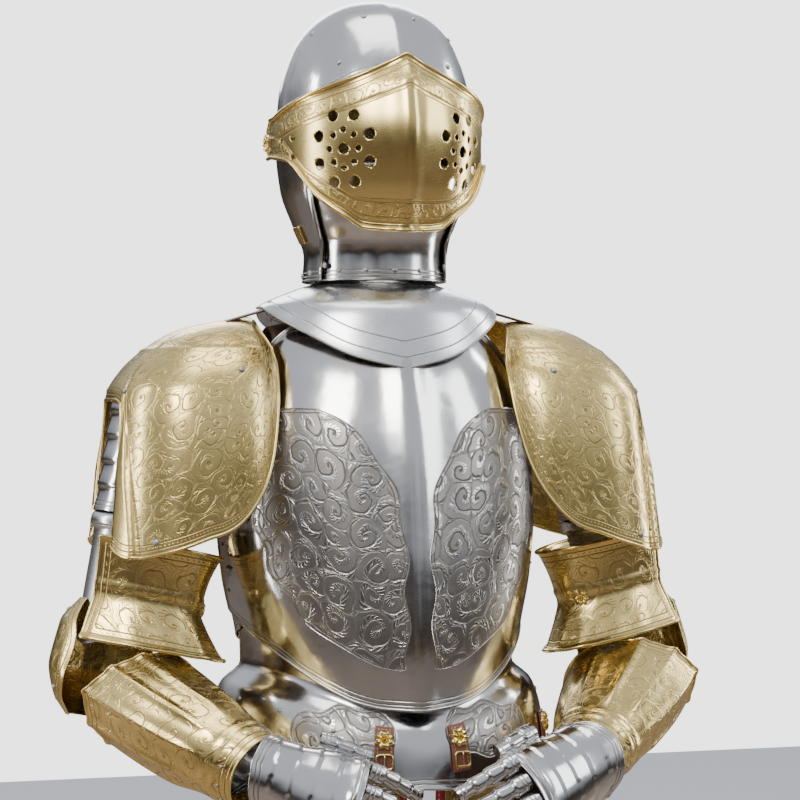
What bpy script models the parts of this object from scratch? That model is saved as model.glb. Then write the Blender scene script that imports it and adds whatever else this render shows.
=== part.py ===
"""A full suit of plate armour: close helmet, gorget, cuirass, arms, skirt and legs.

The suit faces -Y and its own right arm is at -X. Sizes are millimetres above the
soles; MM turns them into metres, and HELD_AT is the height of the part's origin,
where the wearer's shoulders carry the cuirass. Every plate is a sheet of metal: a
grid of points worked out from a short table of sections, then given its thickness
inwards.
"""
import math
from typing import NamedTuple

import bmesh
import bpy
import numpy as np
from mathutils import Vector

SUIT = "suit_of_plate_armour"
MM = 0.001
WELD = 0.00001
HELD_AT = 1440.0     # height of the shoulders that carry the suit

PLATE = 1.6          # thickness of the big plates
THIN = 1.2           # thickness of lames and finger scales
LEATHER = 2.2        # thickness of straps
SEAM = 0.4           # rest gap between two plates that touch
LAP = PLATE + 2 * SEAM   # step from a plate to the plate that lies under it


class Section(NamedTuple):
    """One level of a plate's form."""

    at: float      # height above the soles, or distance along the limb
    wide: float    # half width
    front: float   # depth from the axis to the front
    back: float    # depth from the axis to the back
    shift: float = 0.0   # sideways offset of the section's centre


class Edge(NamedTuple):
    """Where a plate's edge runs, by angle from the plate's middle."""

    angle: float
    at: float


class Finish(NamedTuple):
    """A plain CAD material."""

    name: str
    colour: tuple
    roughness: float
    metallic: float


STEEL = Finish("polished_steel", (0.62, 0.62, 0.63), 0.22, 1.0)
SATIN = Finish("satin_steel", (0.70, 0.70, 0.70), 0.38, 1.0)
BRASS = Finish("gilt_brass", (0.76, 0.63, 0.33), 0.32, 1.0)
BROWN = Finish("brown_leather", (0.11, 0.05, 0.035), 0.6, 0.0)
RED = Finish("red_cloth", (0.32, 0.03, 0.04), 0.8, 0.0)

# Helmet.
SKULL = (
    Section(1832, 0, 0, 0),
    Section(1826, 38, 34, 42),
    Section(1808, 68, 65, 82),
    Section(1774, 92, 91, 113),
    Section(1724, 106, 111, 130),
    Section(1672, 109, 118, 133),
    Section(1622, 104, 112, 126),
    Section(1582, 90, 100, 110),
    Section(1548, 78, 88, 94),
    Section(1520, 80, 90, 92),
)
SKULL_ROWS = (0, 0.019, 0.077, 0.186, 0.27, 0.346, 0.513, 0.673, 0.80, 0.91, 1)
BEVOR_ROWS = (0, 0.15, 0.483, 0.767, 1)
SKULL_COLUMNS = (0, 21, 40, 50, 54, 58, 61, 64, 80, 100, 125, 152, 180)
HELMET_FOOT = 1519.8
FACE_EDGE = (
    Edge(0, 1744), Edge(21, 1736), Edge(40, 1722), Edge(50, 1708), Edge(54, 1672),
    Edge(58, 1622), Edge(61, 1570), Edge(64, HELMET_FOOT), Edge(180, HELMET_FOOT),
)
VISOR = (
    Section(1766, 97, 113, 112),
    Section(1722, 114, 138, 130),
    Section(1674, 117, 147, 134),
    Section(1620, 112, 140, 130),
    Section(1570, 98, 119, 110),
)
VISOR_KEEL = 9
PIVOT_HEIGHT = 1674
PIVOT_BACK = 25
PIVOT_OUT = 118.2    # middle of the pivot's head
PIVOT_RADIUS = 9
PIVOT_DEPTH = 4
SHAFT_INNER = 107.6  # the pivot's shaft ends just off the skull
SHAFT_RADIUS = 4
SHAFT_HOLE = 5
ROSE_ANGLE = 35
ROSE_HEIGHT = 1655
ROSE_INNER = 20
ROSE_OUTER = 38
ROSE_HOLES = 8
BREATH_LARGE = 6.2
BREATH_SMALL = 3.4
DRILL_DEPTH = 24
SIDE_HOLE_ANGLE = 72
SIDE_HOLE_RING = 14
SIDE_HOLE_HEIGHT = 1661
BEVOR_TOP = 1640
BEVOR_INSET = 2.6
BEVOR_COLUMNS = (0, 18, 36, 50, 58, 64, 70)
VISOR_TOP = (Edge(0, 1766), Edge(15, 1752), Edge(32, 1737), Edge(65, 1718), Edge(100, 1698))
VISOR_EARS = (Edge(0, 0.84), Edge(0.4, 1.0), Edge(0.6, 1.0), Edge(1, 0.86))
VISOR_FOOT = (
    Edge(0, 1570), Edge(28, 1574), Edge(40, 1586), Edge(57, 1606), Edge(81, 1648),
    Edge(100, 1655),
)

# Gorget and body.
GORGET = (
    Section(1538, 66, 68, 70),
    Section(1517, 68, 70, 72),
    Section(1510, 88, 84, 84),
    Section(1488, 134, 112, 104),
    Section(1462, 146, 121.4, 112),
    Section(1421, 158, 134, 120),
)
TORSO = (
    Section(1474, 112, 84, 84),
    Section(1448, 134, 112, 98),
    Section(1410, 156, 132, 110),
    Section(1340, 176, 154, 122),
    Section(1270, 180, 168, 124),
    Section(1200, 174, 178, 120),
    Section(1130, 160, 182, 110),
    Section(1063, 152, 178, 104),
)
BREAST_KEEL = 7
YOKE_CENTRE = 1408
YOKE_SPREAD = 61.6
YOKE_TURN = -2.2
YOKE = (Section(93.6, 58, 66, 0), Section(108.6, 56, 64, 0), Section(124.1, 50, 60, 0))
GORGET_FOOT = (
    Edge(0, 1421), Edge(20, 1434), Edge(45, 1462), Edge(70, 1483), Edge(84, 1489),
    Edge(92, 1489),
)
GORGET_BACK_FOOT = (Edge(0, 1450), Edge(45, 1468), Edge(70, 1484), Edge(84, 1489), Edge(96, 1489))
BREAST_COLUMNS = (0, 6, 14, 24, 35, 46, 58, 70, 78, 84, 90)
BREAST_TOP = (
    Edge(0, 1446), Edge(24, 1452), Edge(46, 1471), Edge(58, 1469), Edge(70, 1445),
    Edge(78, 1385), Edge(90, 1325),
)
BREAST_FOOT = (
    Edge(0, 1063), Edge(14, 1065), Edge(24, 1071), Edge(35, 1084), Edge(46, 1100),
    Edge(58, 1119), Edge(90, 1158),
)
BACK_TOP = (Edge(0, 1470), Edge(46, 1462), Edge(60, 1436), Edge(76, 1370), Edge(96, 1318))
BACK_FOOT = (Edge(0, 1118), Edge(60, 1118), Edge(96, 1138))
FAULD = (
    Section(1160, 157, 173, 103),
    Section(1128, 153, 173, 102),
    Section(1100, 152, 172, 102),
    Section(1078, 174, 188, 126),
    Section(1050, 184, 196, 140),
    Section(984, 192, 204, 150),
)
FAULD_DROP = (
    Edge(0, -40), Edge(14, -36), Edge(24, -30), Edge(35, -20), Edge(46, -10), Edge(60, -2),
    Edge(75, 0), Edge(180, 0),
)
FAULD_FOOT = (Edge(0, 1024), Edge(24, 1012), Edge(46, 996), Edge(75, 990), Edge(180, 990))
STRAP_RISE = 0.9
STRAP_TOP = 1046
STRAP_FOOT = 1000
ROSETTE = 10.0
ROSETTE_HEIGHT = 1034
FAULD_ROWS = (0, 0.188, 0.353, 0.482, 0.647, 0.965, 1)
GORGET_ROWS = (0, 0.18, 0.25, 0.429, 0.592, 0.75, 0.88, 1)
SIDE_COLUMNS = (0, 14, 30, 46, 62, 74, 80, 86, 92)
BACK_COLUMNS = (0, 24, 48, 70, 84, 90, 96)
TASSET = (
    Section(1004, 182, 194, 140),
    Section(960, 188, 194, 148),
    Section(850, 194, 176, 160),
    Section(730, 198, 156, 166),
)

# Arms: the shoulder, elbow and wrist joints of the +X arm.
SHOULDER = (235, 0, 1420)
ELBOW = (302, -20, 1094)
WRIST = (170, -212, 1005)
PAULDRON = (
    Section(1478, 0, 0, 0, 148),
    Section(1474, 22, 34, 34, 160),
    Section(1465, 44, 60, 60, 176),
    Section(1446, 68, 88, 88, 186),
    Section(1420, 87, 110, 104, 196),
    Section(1395, 96, 122, 110, 202),
    Section(1330, 100, 136, 118, 205),
    Section(1270, 104, 142, 122, 207),
    Section(1223, 108, 146, 124, 209),
)
PAULDRON_COLUMNS = (0, 12, 22, 28, 46, 70, 95, 112, 124, 131, 136)
PAULDRON_ROWS = (0, 0.06, 0.13, 0.24, 0.42, 0.7, 1)
PAULDRON_EDGE = (
    Edge(0, 1388), Edge(12, 1388), Edge(22, 1382), Edge(28, 1236), Edge(46, 1223),
    Edge(70, 1231), Edge(95, 1252), Edge(112, 1285), Edge(124, 1325), Edge(131, 1370),
    Edge(136, 1430),
)
PAULDRON_STRAP_OUT = 155
LAME_COUNT = 5
LAME_LENGTH = 27
LAME_STEP = 2.4
LAME_TOP = 32
LAME_RADIUS = 50.5
WING = (Section(142, 63, 99, 63), Section(108, 57, 90, 58), Section(82, 54, 88, 55),
        Section(64, 57.6, 98, 58.6), Section(33, 64.6, 122, 63.6))
WING_FACING = (-0.88, -0.47, 0)
CUFF = (Section(40, 50, 82, 58, 0), Section(60, 52, 82, 60, 0), Section(95, 53, 78, 60, -1),
        Section(150, 51, 64, 56, -3), Section(192, 46, 52, 48, -3), Section(236, 40, 39, 39, -1))
CUFF_FACING = (0.79, -0.6, 0.14)
CUFF_TOP = (Edge(0, 52), Edge(26, 60), Edge(90, 70), Edge(180, 84))
VAMBRACE_TOP = (Edge(0, 60), Edge(90, 42), Edge(180, 24))
REREBRACE_FOOT = (Edge(0, 58), Edge(90, 42), Edge(180, 26))
COUTER_EARS = (Edge(0, 0.8), Edge(0.4, 1), Edge(1, 0.75))
HAND_TOP = (Edge(0, -20), Edge(40, -14), Edge(70, 0), Edge(105, 8))
HAND_FACING = (0.2, -0.85, 0.45)
HAND = (Section(-20, 47.9, 41.9, 34), Section(0, 44, 37, 32), Section(25, 43, 31, 30),
        Section(60, 46, 28, 28), Section(96, 46, 25, 25))
FINGER_SPREAD = 22.5
FINGER_BEND = 0.35
FINGERS = ((-1.5, 62, "little"), (-0.5, 74, "ring"), (0.5, 78, "middle"), (1.5, 72, "index"))
FINGER_START = 95.6
FINGER_CURL = 0.22
FINGER_SCALES = 4
THUMB_SCALES = 3
THUMB_SCALE = 19
RIGHT_TIP = (2, -256, 952)
LEFT_TIP = (2, -308, 958)

# Legs.
HIP = (100, -14, 0)
CUISSE = (Section(870, 84, 92, 86), Section(780, 82, 88, 82), Section(650, 68, 74, 70),
          Section(560, 56, 57, 58), Section(540, 54, 55, 57))
CUISSE_FOOT = (Edge(0, 542), Edge(90, 560), Edge(180, 590))
GREAVE = (Section(470, 53, 53, 56), Section(400, 54, 52, 66), Section(330, 51, 50, 68),
          Section(250, 45, 45, 56), Section(150, 37, 40, 44), Section(95, 39, 42, 44),
          Section(14, 41, 46, 50))
SABATON = (Section(30, 46, 84, 0), Section(66, 47, 68, 0), Section(110, 50, 50, 0),
           Section(160, 48, 38, 0), Section(196, 36, 29, 0), Section(214, 14, 18, 0))
SOLE = 5.0
GREAVE_TOP = (Edge(0, 466), Edge(90, 446), Edge(180, 416))
GREAVE_FOOT = (Edge(0, 84.4), Edge(45, 75), Edge(90, 56), Edge(135, 32), Edge(180, 14))
SABATON_TOP = (Edge(0, 43), Edge(40, 38), Edge(88, 26))
SOLE_SIZE = (84, 268, SOLE)
SOLE_FORWARD = 76


def unit(vector):
    """Return the vector with length one."""
    array = np.asarray(vector, dtype=float)
    return array / np.linalg.norm(array)


class Frame:
    """A limb's own axes: z runs along the limb and -y is its front."""

    def __init__(self, origin=(0, 0, 0), axis=(0, 0, 1), front=(0, -1, 0)):
        self.origin = np.asarray(origin, dtype=float)
        self.along = unit(axis)
        ahead = np.asarray(front, dtype=float)
        self.back = -unit(ahead - np.dot(ahead, self.along) * self.along)
        self.side = np.cross(self.back, self.along)

    def place(self, x, y, z):
        """Turn the limb's own coordinates into points of the suit."""
        return (self.origin
                + x[..., None] * self.side
                + y[..., None] * self.back
                + z[..., None] * self.along)


UPRIGHT = Frame()


def read(table, column, at):
    """Interpolate one named column of a section table."""
    rows = sorted(table, key=lambda row: row.at)
    return np.interp(at, [row.at for row in rows], [getattr(row, column) for row in rows])


def rim(edge, angle):
    """Interpolate an edge table, or repeat a level edge."""
    if isinstance(edge, tuple):
        return np.interp(np.abs(angle), [row.angle for row in edge], [row.at for row in edge])
    return np.full_like(angle, float(edge))


def power(value, exponent):
    """Raise to a power and keep the sign."""
    return np.sign(value) * np.abs(value) ** exponent


def ring(table, at, degrees, keel=0.0, square=2.0):
    """Return x and y on a section, 0 degrees at the front and 90 at +x."""
    turn = np.radians(degrees)
    sine = power(np.sin(turn), 2.0 / square)
    cosine = power(np.cos(turn), 2.0 / square)
    depth = np.where(np.cos(turn) > 0, read(table, "front", at), read(table, "back", at))
    ridge = keel * np.exp(-(np.sin(turn) / 0.13) ** 2) * (np.cos(turn) > 0)
    x = read(table, "shift", at) + read(table, "wide", at) * sine
    return x, -(depth * cosine + ridge)


def columns_of(columns, spread):
    """Return the column angles, evenly spaced or mirrored from half a list."""
    if isinstance(columns, tuple):
        half = np.asarray(columns, dtype=float)
        return np.concatenate([-half[:0:-1], half])
    return np.linspace(-1, 1, columns) * spread


def rows_of(rows, lips):
    """Return row positions from 0 to 1, with a narrow row beside each lip."""
    marks = np.linspace(0, 1, rows)
    if lips[0]:
        marks = np.insert(marks, 1, marks[1] * 0.22)
    if lips[1]:
        marks = np.insert(marks, -1, 1 - (1 - marks[-2]) * 0.22)
    return marks


def outward(points):
    """Return the unit normals of a grid of points."""
    across = np.gradient(points, axis=1)
    down = np.gradient(points, axis=0)
    normal = np.cross(down, across)
    length = np.linalg.norm(normal, axis=-1, keepdims=True)
    return normal / np.maximum(length, 1e-9)


def metres(points):
    """Turn millimetres above the soles into metres from the part's origin."""
    return (np.asarray(points, dtype=float) - (0.0, 0.0, HELD_AT)) * MM


def finish_of(finish):
    """Return the Blender material of a finish, made once."""
    if finish.name in bpy.data.materials:
        return bpy.data.materials[finish.name]
    material = bpy.data.materials.new(finish.name)
    material.use_nodes = True
    shader = material.node_tree.nodes["Principled BSDF"]
    shader.inputs["Base Color"].default_value = (*finish.colour, 1.0)
    shader.inputs["Roughness"].default_value = finish.roughness
    shader.inputs["Metallic"].default_value = finish.metallic
    return material


def add_object(name, mesh, finish, smooth=True):
    """Link a mesh as a named node with its material."""
    part = bpy.data.objects.new(name, mesh)
    bpy.data.collections[SUIT].objects.link(part)
    mesh.materials.append(finish_of(finish))
    for face in mesh.polygons:
        face.use_smooth = smooth
    return part


def sheet(name, points, finish, thickness, centre):
    """Make a plate from a grid of points; its thickness runs towards the centre."""
    rows, columns = points.shape[:2]
    work = bmesh.new()
    bmesh.ops.create_grid(work, x_segments=columns - 1, y_segments=rows - 1, size=1.0)
    for vertex, point in zip(work.verts, metres(points.reshape(-1, 3))):
        vertex.co = point
    bmesh.ops.remove_doubles(work, verts=work.verts, dist=WELD)
    loose = [face for face in work.faces if face.calc_area() < 1e-12]
    bmesh.ops.delete(work, geom=loose, context="FACES")
    facing = sum(face.normal.dot(face.calc_center_median() - centre(face)) * face.calc_area()
                 for face in work.faces)
    if facing < 0:
        bmesh.ops.reverse_faces(work, faces=work.faces)
    mesh = bpy.data.meshes.new(name)
    work.to_mesh(mesh)
    work.free()
    part = add_object(name, mesh, finish)
    skin = part.modifiers.new("thickness", "SOLIDIFY")
    skin.thickness = thickness * MM
    skin.offset = -1.0
    skin.use_even_offset = True
    return part


def plate(name, table, finish, spread=90.0, top=None, bottom=None, columns=13, rows=7,
          turn=0.0, frame=UPRIGHT, side=1, thickness=PLATE, lift=0.0, lips=(0.0, 0.0),
          keel=0.0, square=2.0, narrow=None, curl=0.0, drop=None):
    """Make one plate over a section table.

    spread is the half angle that it covers about its middle, turn. top and bottom are
    levels or Edge tables. narrow lists Edge rows of row position and share of spread.
    lips lift the top and bottom edges outwards. curl bends a finger to its back.
    drop lowers the whole form by angle.
    """
    angle = columns_of(columns, spread)[None, :]
    share = rows_of(rows, lips)[:, None] if isinstance(rows, int) else np.asarray(rows)[:, None]
    first = rim(top if top is not None else table[0].at, angle)
    last = rim(bottom if bottom is not None else table[-1].at, angle)
    level = first + share * (last - first)
    wrap = angle * np.ones_like(level)
    if narrow:
        wrap = wrap * np.interp(share, [row.angle for row in narrow], [row.at for row in narrow])
    x, y = ring(table, level, wrap + turn, keel, square)
    length = max(abs(table[-1].at - table[0].at), 1.0)
    y = y + curl * (level - table[0].at) ** 2 / length
    if drop:
        level = level + rim(drop, wrap + turn)
    flat = np.stack([x, y, level], axis=-1)
    normal = outward(flat)
    middle = np.stack([read(table, "shift", level), y * 0, level], axis=-1)
    flip = np.sign(np.sum(normal * (flat - middle), axis=-1).mean())
    raised = np.full(level.shape, float(lift))
    raised[0] += lips[0]
    raised[-1] += lips[1]
    flat = flat + normal * flip * raised[..., None]
    points = frame.place(flat[..., 0], flat[..., 1], flat[..., 2])
    points[..., 0] *= side
    inner = frame.place(middle[..., 0], middle[..., 1], middle[..., 2])
    inner[..., 0] *= side
    heart = metres(inner.reshape(-1, 3).mean(axis=0))
    axis = frame.along * np.array([side, 1, 1])

    def nearest(face):
        """Return the point of the limb's axis beside a face."""
        step = np.array(face.calc_center_median()) - heart
        return Vector(heart + axis * np.dot(step, axis))

    return sheet(name, points, finish, thickness, nearest)


def disc(name, finish, at, axis, radius, depth, sides=16):
    """Make a round stud or boss whose middle is at the point."""
    work = bmesh.new()
    bmesh.ops.create_cone(work, cap_ends=True, segments=sides, radius1=radius * MM,
                          radius2=radius * 0.8 * MM, depth=depth * MM)
    mesh = bpy.data.meshes.new(name)
    work.to_mesh(mesh)
    work.free()
    part = add_object(name, mesh, finish)
    part.rotation_mode = "QUATERNION"
    part.rotation_quaternion = Vector(unit(axis)).to_track_quat("Z", "Y")
    part.location = metres(at)
    return part


def slab(name, finish, at, size, tilt=(0, 0, 0), bevel=0.8):
    """Make a flat piece with softened edges."""
    work = bmesh.new()
    bmesh.ops.create_cube(work, size=1.0)
    bmesh.ops.scale(work, verts=work.verts, vec=[value * MM for value in size])
    mesh = bpy.data.meshes.new(name)
    work.to_mesh(mesh)
    work.free()
    part = add_object(name, mesh, finish, smooth=False)
    part.location = metres(at)
    part.rotation_euler = [math.radians(value) for value in tilt]
    if bevel:
        soft = part.modifiers.new("soft", "BEVEL")
        soft.width = bevel * MM
        soft.segments = 1
    return part


def start():
    """Clear the scene and make the suit's collection."""
    for old in list(bpy.data.objects):
        bpy.data.objects.remove(old)
    group = bpy.data.collections.new(SUIT)
    bpy.context.scene.collection.children.link(group)
    cutters = bpy.data.collections.new("cutters")
    cutters.hide_render = True
    bpy.context.scene.collection.children.link(cutters)


def breath_holes():
    """Return angle, height and radius of every breath hole of the visor."""
    holes = []
    rose_depth = read(VISOR, "front", ROSE_HEIGHT)
    rose_width = read(VISOR, "wide", ROSE_HEIGHT)
    for sign in (-1, 1):
        holes.append((sign * ROSE_ANGLE, ROSE_HEIGHT, BREATH_LARGE))
        for step in range(ROSE_HOLES):
            for ring_size, radius, phase in ((ROSE_INNER, BREATH_SMALL, 0.0),
                                             (ROSE_OUTER, BREATH_LARGE, 0.5)):
                turn = 2 * math.pi * (step + phase) / ROSE_HOLES
                across = math.degrees(ring_size * math.cos(turn) / rose_depth)
                holes.append((sign * ROSE_ANGLE + across,
                              ROSE_HEIGHT + ring_size * math.sin(turn), radius))
        for step in range(4):
            turn = math.pi * (step / 2 + 0.25)
            across = math.degrees(SIDE_HOLE_RING * math.cos(turn) / rose_width)
            holes.append((sign * SIDE_HOLE_ANGLE + across,
                          SIDE_HOLE_HEIGHT + SIDE_HOLE_RING * math.sin(turn), BREATH_SMALL))
    return holes


def drill(work, at, axis, radius, sides):
    """Add one drill's cylinder to the cutter, across the visor's wall."""
    made = bmesh.ops.create_cone(work, cap_ends=True, segments=sides, depth=DRILL_DEPTH * MM,
                                 radius1=radius * MM, radius2=radius * MM)
    spin = Vector(axis).to_track_quat("Z", "Y").to_matrix()
    bmesh.ops.rotate(work, verts=made["verts"], matrix=spin, cent=(0, 0, 0))
    bmesh.ops.translate(work, verts=made["verts"], vec=tuple(metres(at)))


def cut_breath_holes(visor):
    """Cut the rosettes of breath holes and the pivots' holes through the visor."""
    work = bmesh.new()
    for degrees, height, radius in breath_holes():
        x, y = ring(VISOR, height, degrees, VISOR_KEEL)
        normal = unit([float(x) / read(VISOR, "wide", height) ** 2,
                       float(y) / read(VISOR, "front", height) ** 2, 0.0])
        sides = 6 if radius < BREATH_LARGE else 8
        drill(work, (float(x), float(y), height), normal, radius, sides)
    for side in (-1, 1):
        drill(work, (side * PIVOT_OUT, PIVOT_BACK, PIVOT_HEIGHT), (side, 0, 0), SHAFT_HOLE, 8)
    mesh = bpy.data.meshes.new("breath_cutter")
    work.to_mesh(mesh)
    work.free()
    cutter = bpy.data.objects.new("breath_cutter", mesh)
    cutter.display_type = "WIRE"
    cutter.hide_render = True
    bpy.data.collections["cutters"].objects.link(cutter)
    cut = visor.modifiers.new("breath_holes", "BOOLEAN")
    cut.operation = "DIFFERENCE"
    cut.solver = "EXACT"
    cut.object = cutter


def helmet():
    """Build the close helmet."""
    plate("helmet_skull", SKULL, STEEL, columns=SKULL_COLUMNS, rows=SKULL_ROWS, keel=2,
          bottom=FACE_EDGE)
    visor = plate("visor", VISOR, BRASS, spread=108, columns=17, rows=5, keel=VISOR_KEEL,
                  top=VISOR_TOP, bottom=VISOR_FOOT, lips=(2.2, 4.0), narrow=VISOR_EARS)
    cut_breath_holes(visor)
    plate("bevor", SKULL, STEEL, columns=BEVOR_COLUMNS, rows=BEVOR_ROWS, lift=-LAP - BEVOR_INSET,
          top=BEVOR_TOP, bottom=HELMET_FOOT)
    for side, word in ((-1, "right"), (1, "left")):
        pivot = disc(f"visor_pivot_{word}", BRASS, (side * PIVOT_OUT, PIVOT_BACK, PIVOT_HEIGHT),
                     (side, 0, 0), PIVOT_RADIUS, PIVOT_DEPTH)
        shaft = PIVOT_OUT - SHAFT_INNER
        boss(pivot, (side * (SHAFT_INNER + shaft / 2), PIVOT_BACK, PIVOT_HEIGHT), (side, 0, 0),
             SHAFT_RADIUS, shaft, 1.0)
    plate("bevor_hook", SKULL, BRASS, spread=6, turn=-88, columns=3, rows=2, top=1579,
          bottom=1562, thickness=3, lift=3 + SEAM)


def neck_and_body():
    """Build the gorget, breastplate, backplate and the skirt of the cuirass."""
    plate("gorget_front", GORGET, SATIN, columns=SIDE_COLUMNS, rows=GORGET_ROWS, lips=(0, 1.0),
          bottom=GORGET_FOOT)
    plate("gorget_back", GORGET, SATIN, columns=BACK_COLUMNS, rows=GORGET_ROWS, turn=180,
          lift=-LAP, bottom=GORGET_BACK_FOOT)
    plate("breastplate", TORSO, STEEL, columns=BREAST_COLUMNS, rows=9, keel=BREAST_KEEL,
          lips=(3.0, 0), top=BREAST_TOP, bottom=BREAST_FOOT)
    plate("backplate", TORSO, STEEL, columns=BACK_COLUMNS, rows=8, turn=180, lift=-LAP - SEAM,
          top=BACK_TOP, bottom=BACK_FOOT)
    for side, word in ((-1, "right"), (1, "left")):
        plate(f"shoulder_strap_{word}", YOKE, BROWN, spread=YOKE_SPREAD, turn=YOKE_TURN, columns=9, rows=3,
              side=side, frame=Frame((0, 0, YOKE_CENTRE), (1, 0, 0), (0, 0, 1)),
              thickness=LEATHER)
    plate("fauld", FAULD, STEEL, columns=SIDE_COLUMNS, rows=FAULD_ROWS, lips=(0, 2.0),
          bottom=FAULD_FOOT, drop=FAULD_DROP)
    plate("culet", FAULD, STEEL, columns=BACK_COLUMNS, rows=FAULD_ROWS, turn=180, lift=-LAP,
          bottom=990, lips=(0, 2.0))


def boss(carrier, at, facing, radius, height, taper=0.75):
    """Join a round boss or shaft to the piece that carries it."""
    work = bmesh.new()
    bmesh.ops.create_cone(work, cap_ends=True, segments=12, radius1=radius * MM,
                          radius2=radius * taper * MM, depth=height * MM)
    bmesh.ops.rotate(work, verts=work.verts, cent=(0, 0, 0),
                     matrix=Vector(unit(facing)).to_track_quat("Z", "Y").to_matrix())
    bmesh.ops.translate(work, verts=work.verts, vec=tuple(metres(at)))
    name = carrier.name + "_boss"
    mesh = bpy.data.meshes.new(name)
    work.to_mesh(mesh)
    work.free()
    lump = bpy.data.objects.new(name, mesh)
    lump.display_type = "WIRE"
    lump.hide_render = True
    bpy.data.collections["cutters"].objects.link(lump)
    join = carrier.modifiers.new("rosette", "BOOLEAN")
    join.operation = "UNION"
    join.solver = "EXACT"
    join.object = lump


def strap(name, angle, side):
    """Build one leather strap on the skirt with its round rosette boss."""
    fall = float(rim(FAULD_DROP, angle))
    piece = plate(name, FAULD, BROWN, spread=3.2, turn=angle, side=side, columns=3, rows=4,
                  lift=LEATHER + STRAP_RISE, thickness=LEATHER, top=STRAP_TOP - fall,
                  bottom=STRAP_FOOT - fall, drop=FAULD_DROP)
    level = ROSETTE_HEIGHT - fall
    x, y = ring(FAULD, level, angle)
    level_normal = unit((x / read(FAULD, "wide", level) ** 2, y / read(FAULD, "front", level) ** 2, 0))
    flare = read(FAULD, "front", level - ROSETTE) - read(FAULD, "front", level + ROSETTE)
    facing = unit(level_normal + (0, 0, flare / (2 * ROSETTE)))
    at = np.array([x, y, ROSETTE_HEIGHT]) + facing * (STRAP_RISE + LEATHER + 0.8)
    mirror = np.array([side, 1, 1])
    boss(piece, at * mirror, facing * mirror, ROSETTE, 4.4)


def tassets():
    """Build the thigh plates, their red edging and the straps that carry them."""
    for side, word in ((-1, "right"), (1, "left")):
        plate(f"tasset_{word}", TASSET, BRASS, spread=33, turn=41, side=side, columns=9,
              rows=6, lips=(0, 2.0), lift=-2.1,
              bottom=(Edge(0, 735), Edge(24, 752), Edge(33, 790)))
        plate(f"tasset_edging_{word}", TASSET, RED, columns=(0, 11, 22, 33, 36),
              turn=41, side=side, rows=6, lift=-2.7 - LAP, thickness=LEATHER,
              bottom=(Edge(0, 724), Edge(26, 742), Edge(36, 784)))
        for place, angle in (("inner", 13), ("outer", 62)):
            strap(f"tasset_strap_{place}_{word}", angle, side)


def stepped(count, first, length, step, radius, taper, flat=1.0):
    """Return the sections of overlapping lames, each flaring by one step."""
    table = []
    for number in range(count):
        near = first + length * number
        wide = radius - taper * number
        far = near + length * 0.88
        table.append(Section(near, wide, wide * flat, wide * flat))
        table.append(Section(far, wide + step, (wide + step) * flat, (wide + step) * flat))
    return tuple(table)


def shares(table):
    """Return the row positions that fall on a table's own sections."""
    first, last = table[0].at, table[-1].at
    return [(row.at - first) / (last - first) for row in table]


def rounds(*rows):
    """Return round sections from pairs of position and radius."""
    return tuple(Section(at, radius, radius, radius) for at, radius in rows)


UPPER_LENGTH = float(np.linalg.norm(np.subtract(ELBOW, SHOULDER)))
LAMES = stepped(LAME_COUNT, LAME_TOP, LAME_LENGTH, LAME_STEP, LAME_RADIUS, 0.8)
LAME_END = UPPER_LENGTH - LAMES[-1].at
CANNON = rounds((LAME_END + 12, 43), (LAME_END - 1.2, 45.6), (LAME_END - 3.2, 50), (LAME_END - 14, 50),
                (LAME_END - 18, 45), (90, 43), (40, 42))
COUTER = rounds((74, 44.9), (46, 61.2), (4, 63.6), (-30, 54), (-50, 37))
VAMBRACE = rounds((20, 54), (46, 46), (70, 40), (140, 37), (215, 38.1))
def upper_arm(side, word):
    """Build the shoulder, upper arm and elbow plates of one side."""
    shoulder, elbow = np.array(SHOULDER, float), np.array(ELBOW, float)
    fore = np.subtract(WRIST, ELBOW)
    down = Frame(shoulder, elbow - shoulder, fore)
    up = Frame(elbow, shoulder - elbow, fore)
    plate(f"pauldron_{word}", PAULDRON, BRASS, columns=PAULDRON_COLUMNS, rows=PAULDRON_ROWS,
          turn=90, side=side, square=2.5, bottom=PAULDRON_EDGE)
    slab(f"pauldron_strap_{word}", BROWN, (side * PAULDRON_STRAP_OUT, -26, 1478.9),
         (47, 16, LEATHER), (0, side * 16, side * -12), 0.6)
    plate(f"upper_arm_lames_{word}", LAMES, STEEL, spread=180, columns=13, rows=shares(LAMES),
          frame=down, side=side, thickness=THIN)
    plate(f"rerebrace_{word}", CANNON, SATIN, spread=180, columns=13, rows=shares(CANNON),
          frame=up, side=side, bottom=REREBRACE_FOOT)
    plate(f"couter_{word}", COUTER, BRASS, spread=92, columns=11, rows=7, turn=180,
          frame=up, side=side, narrow=COUTER_EARS)
    plate(f"couter_wing_{word}", WING, BRASS, spread=104, columns=13, rows=5, side=side,
          frame=Frame(elbow, shoulder - elbow, WING_FACING), lips=(2.0, 2.5))


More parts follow.
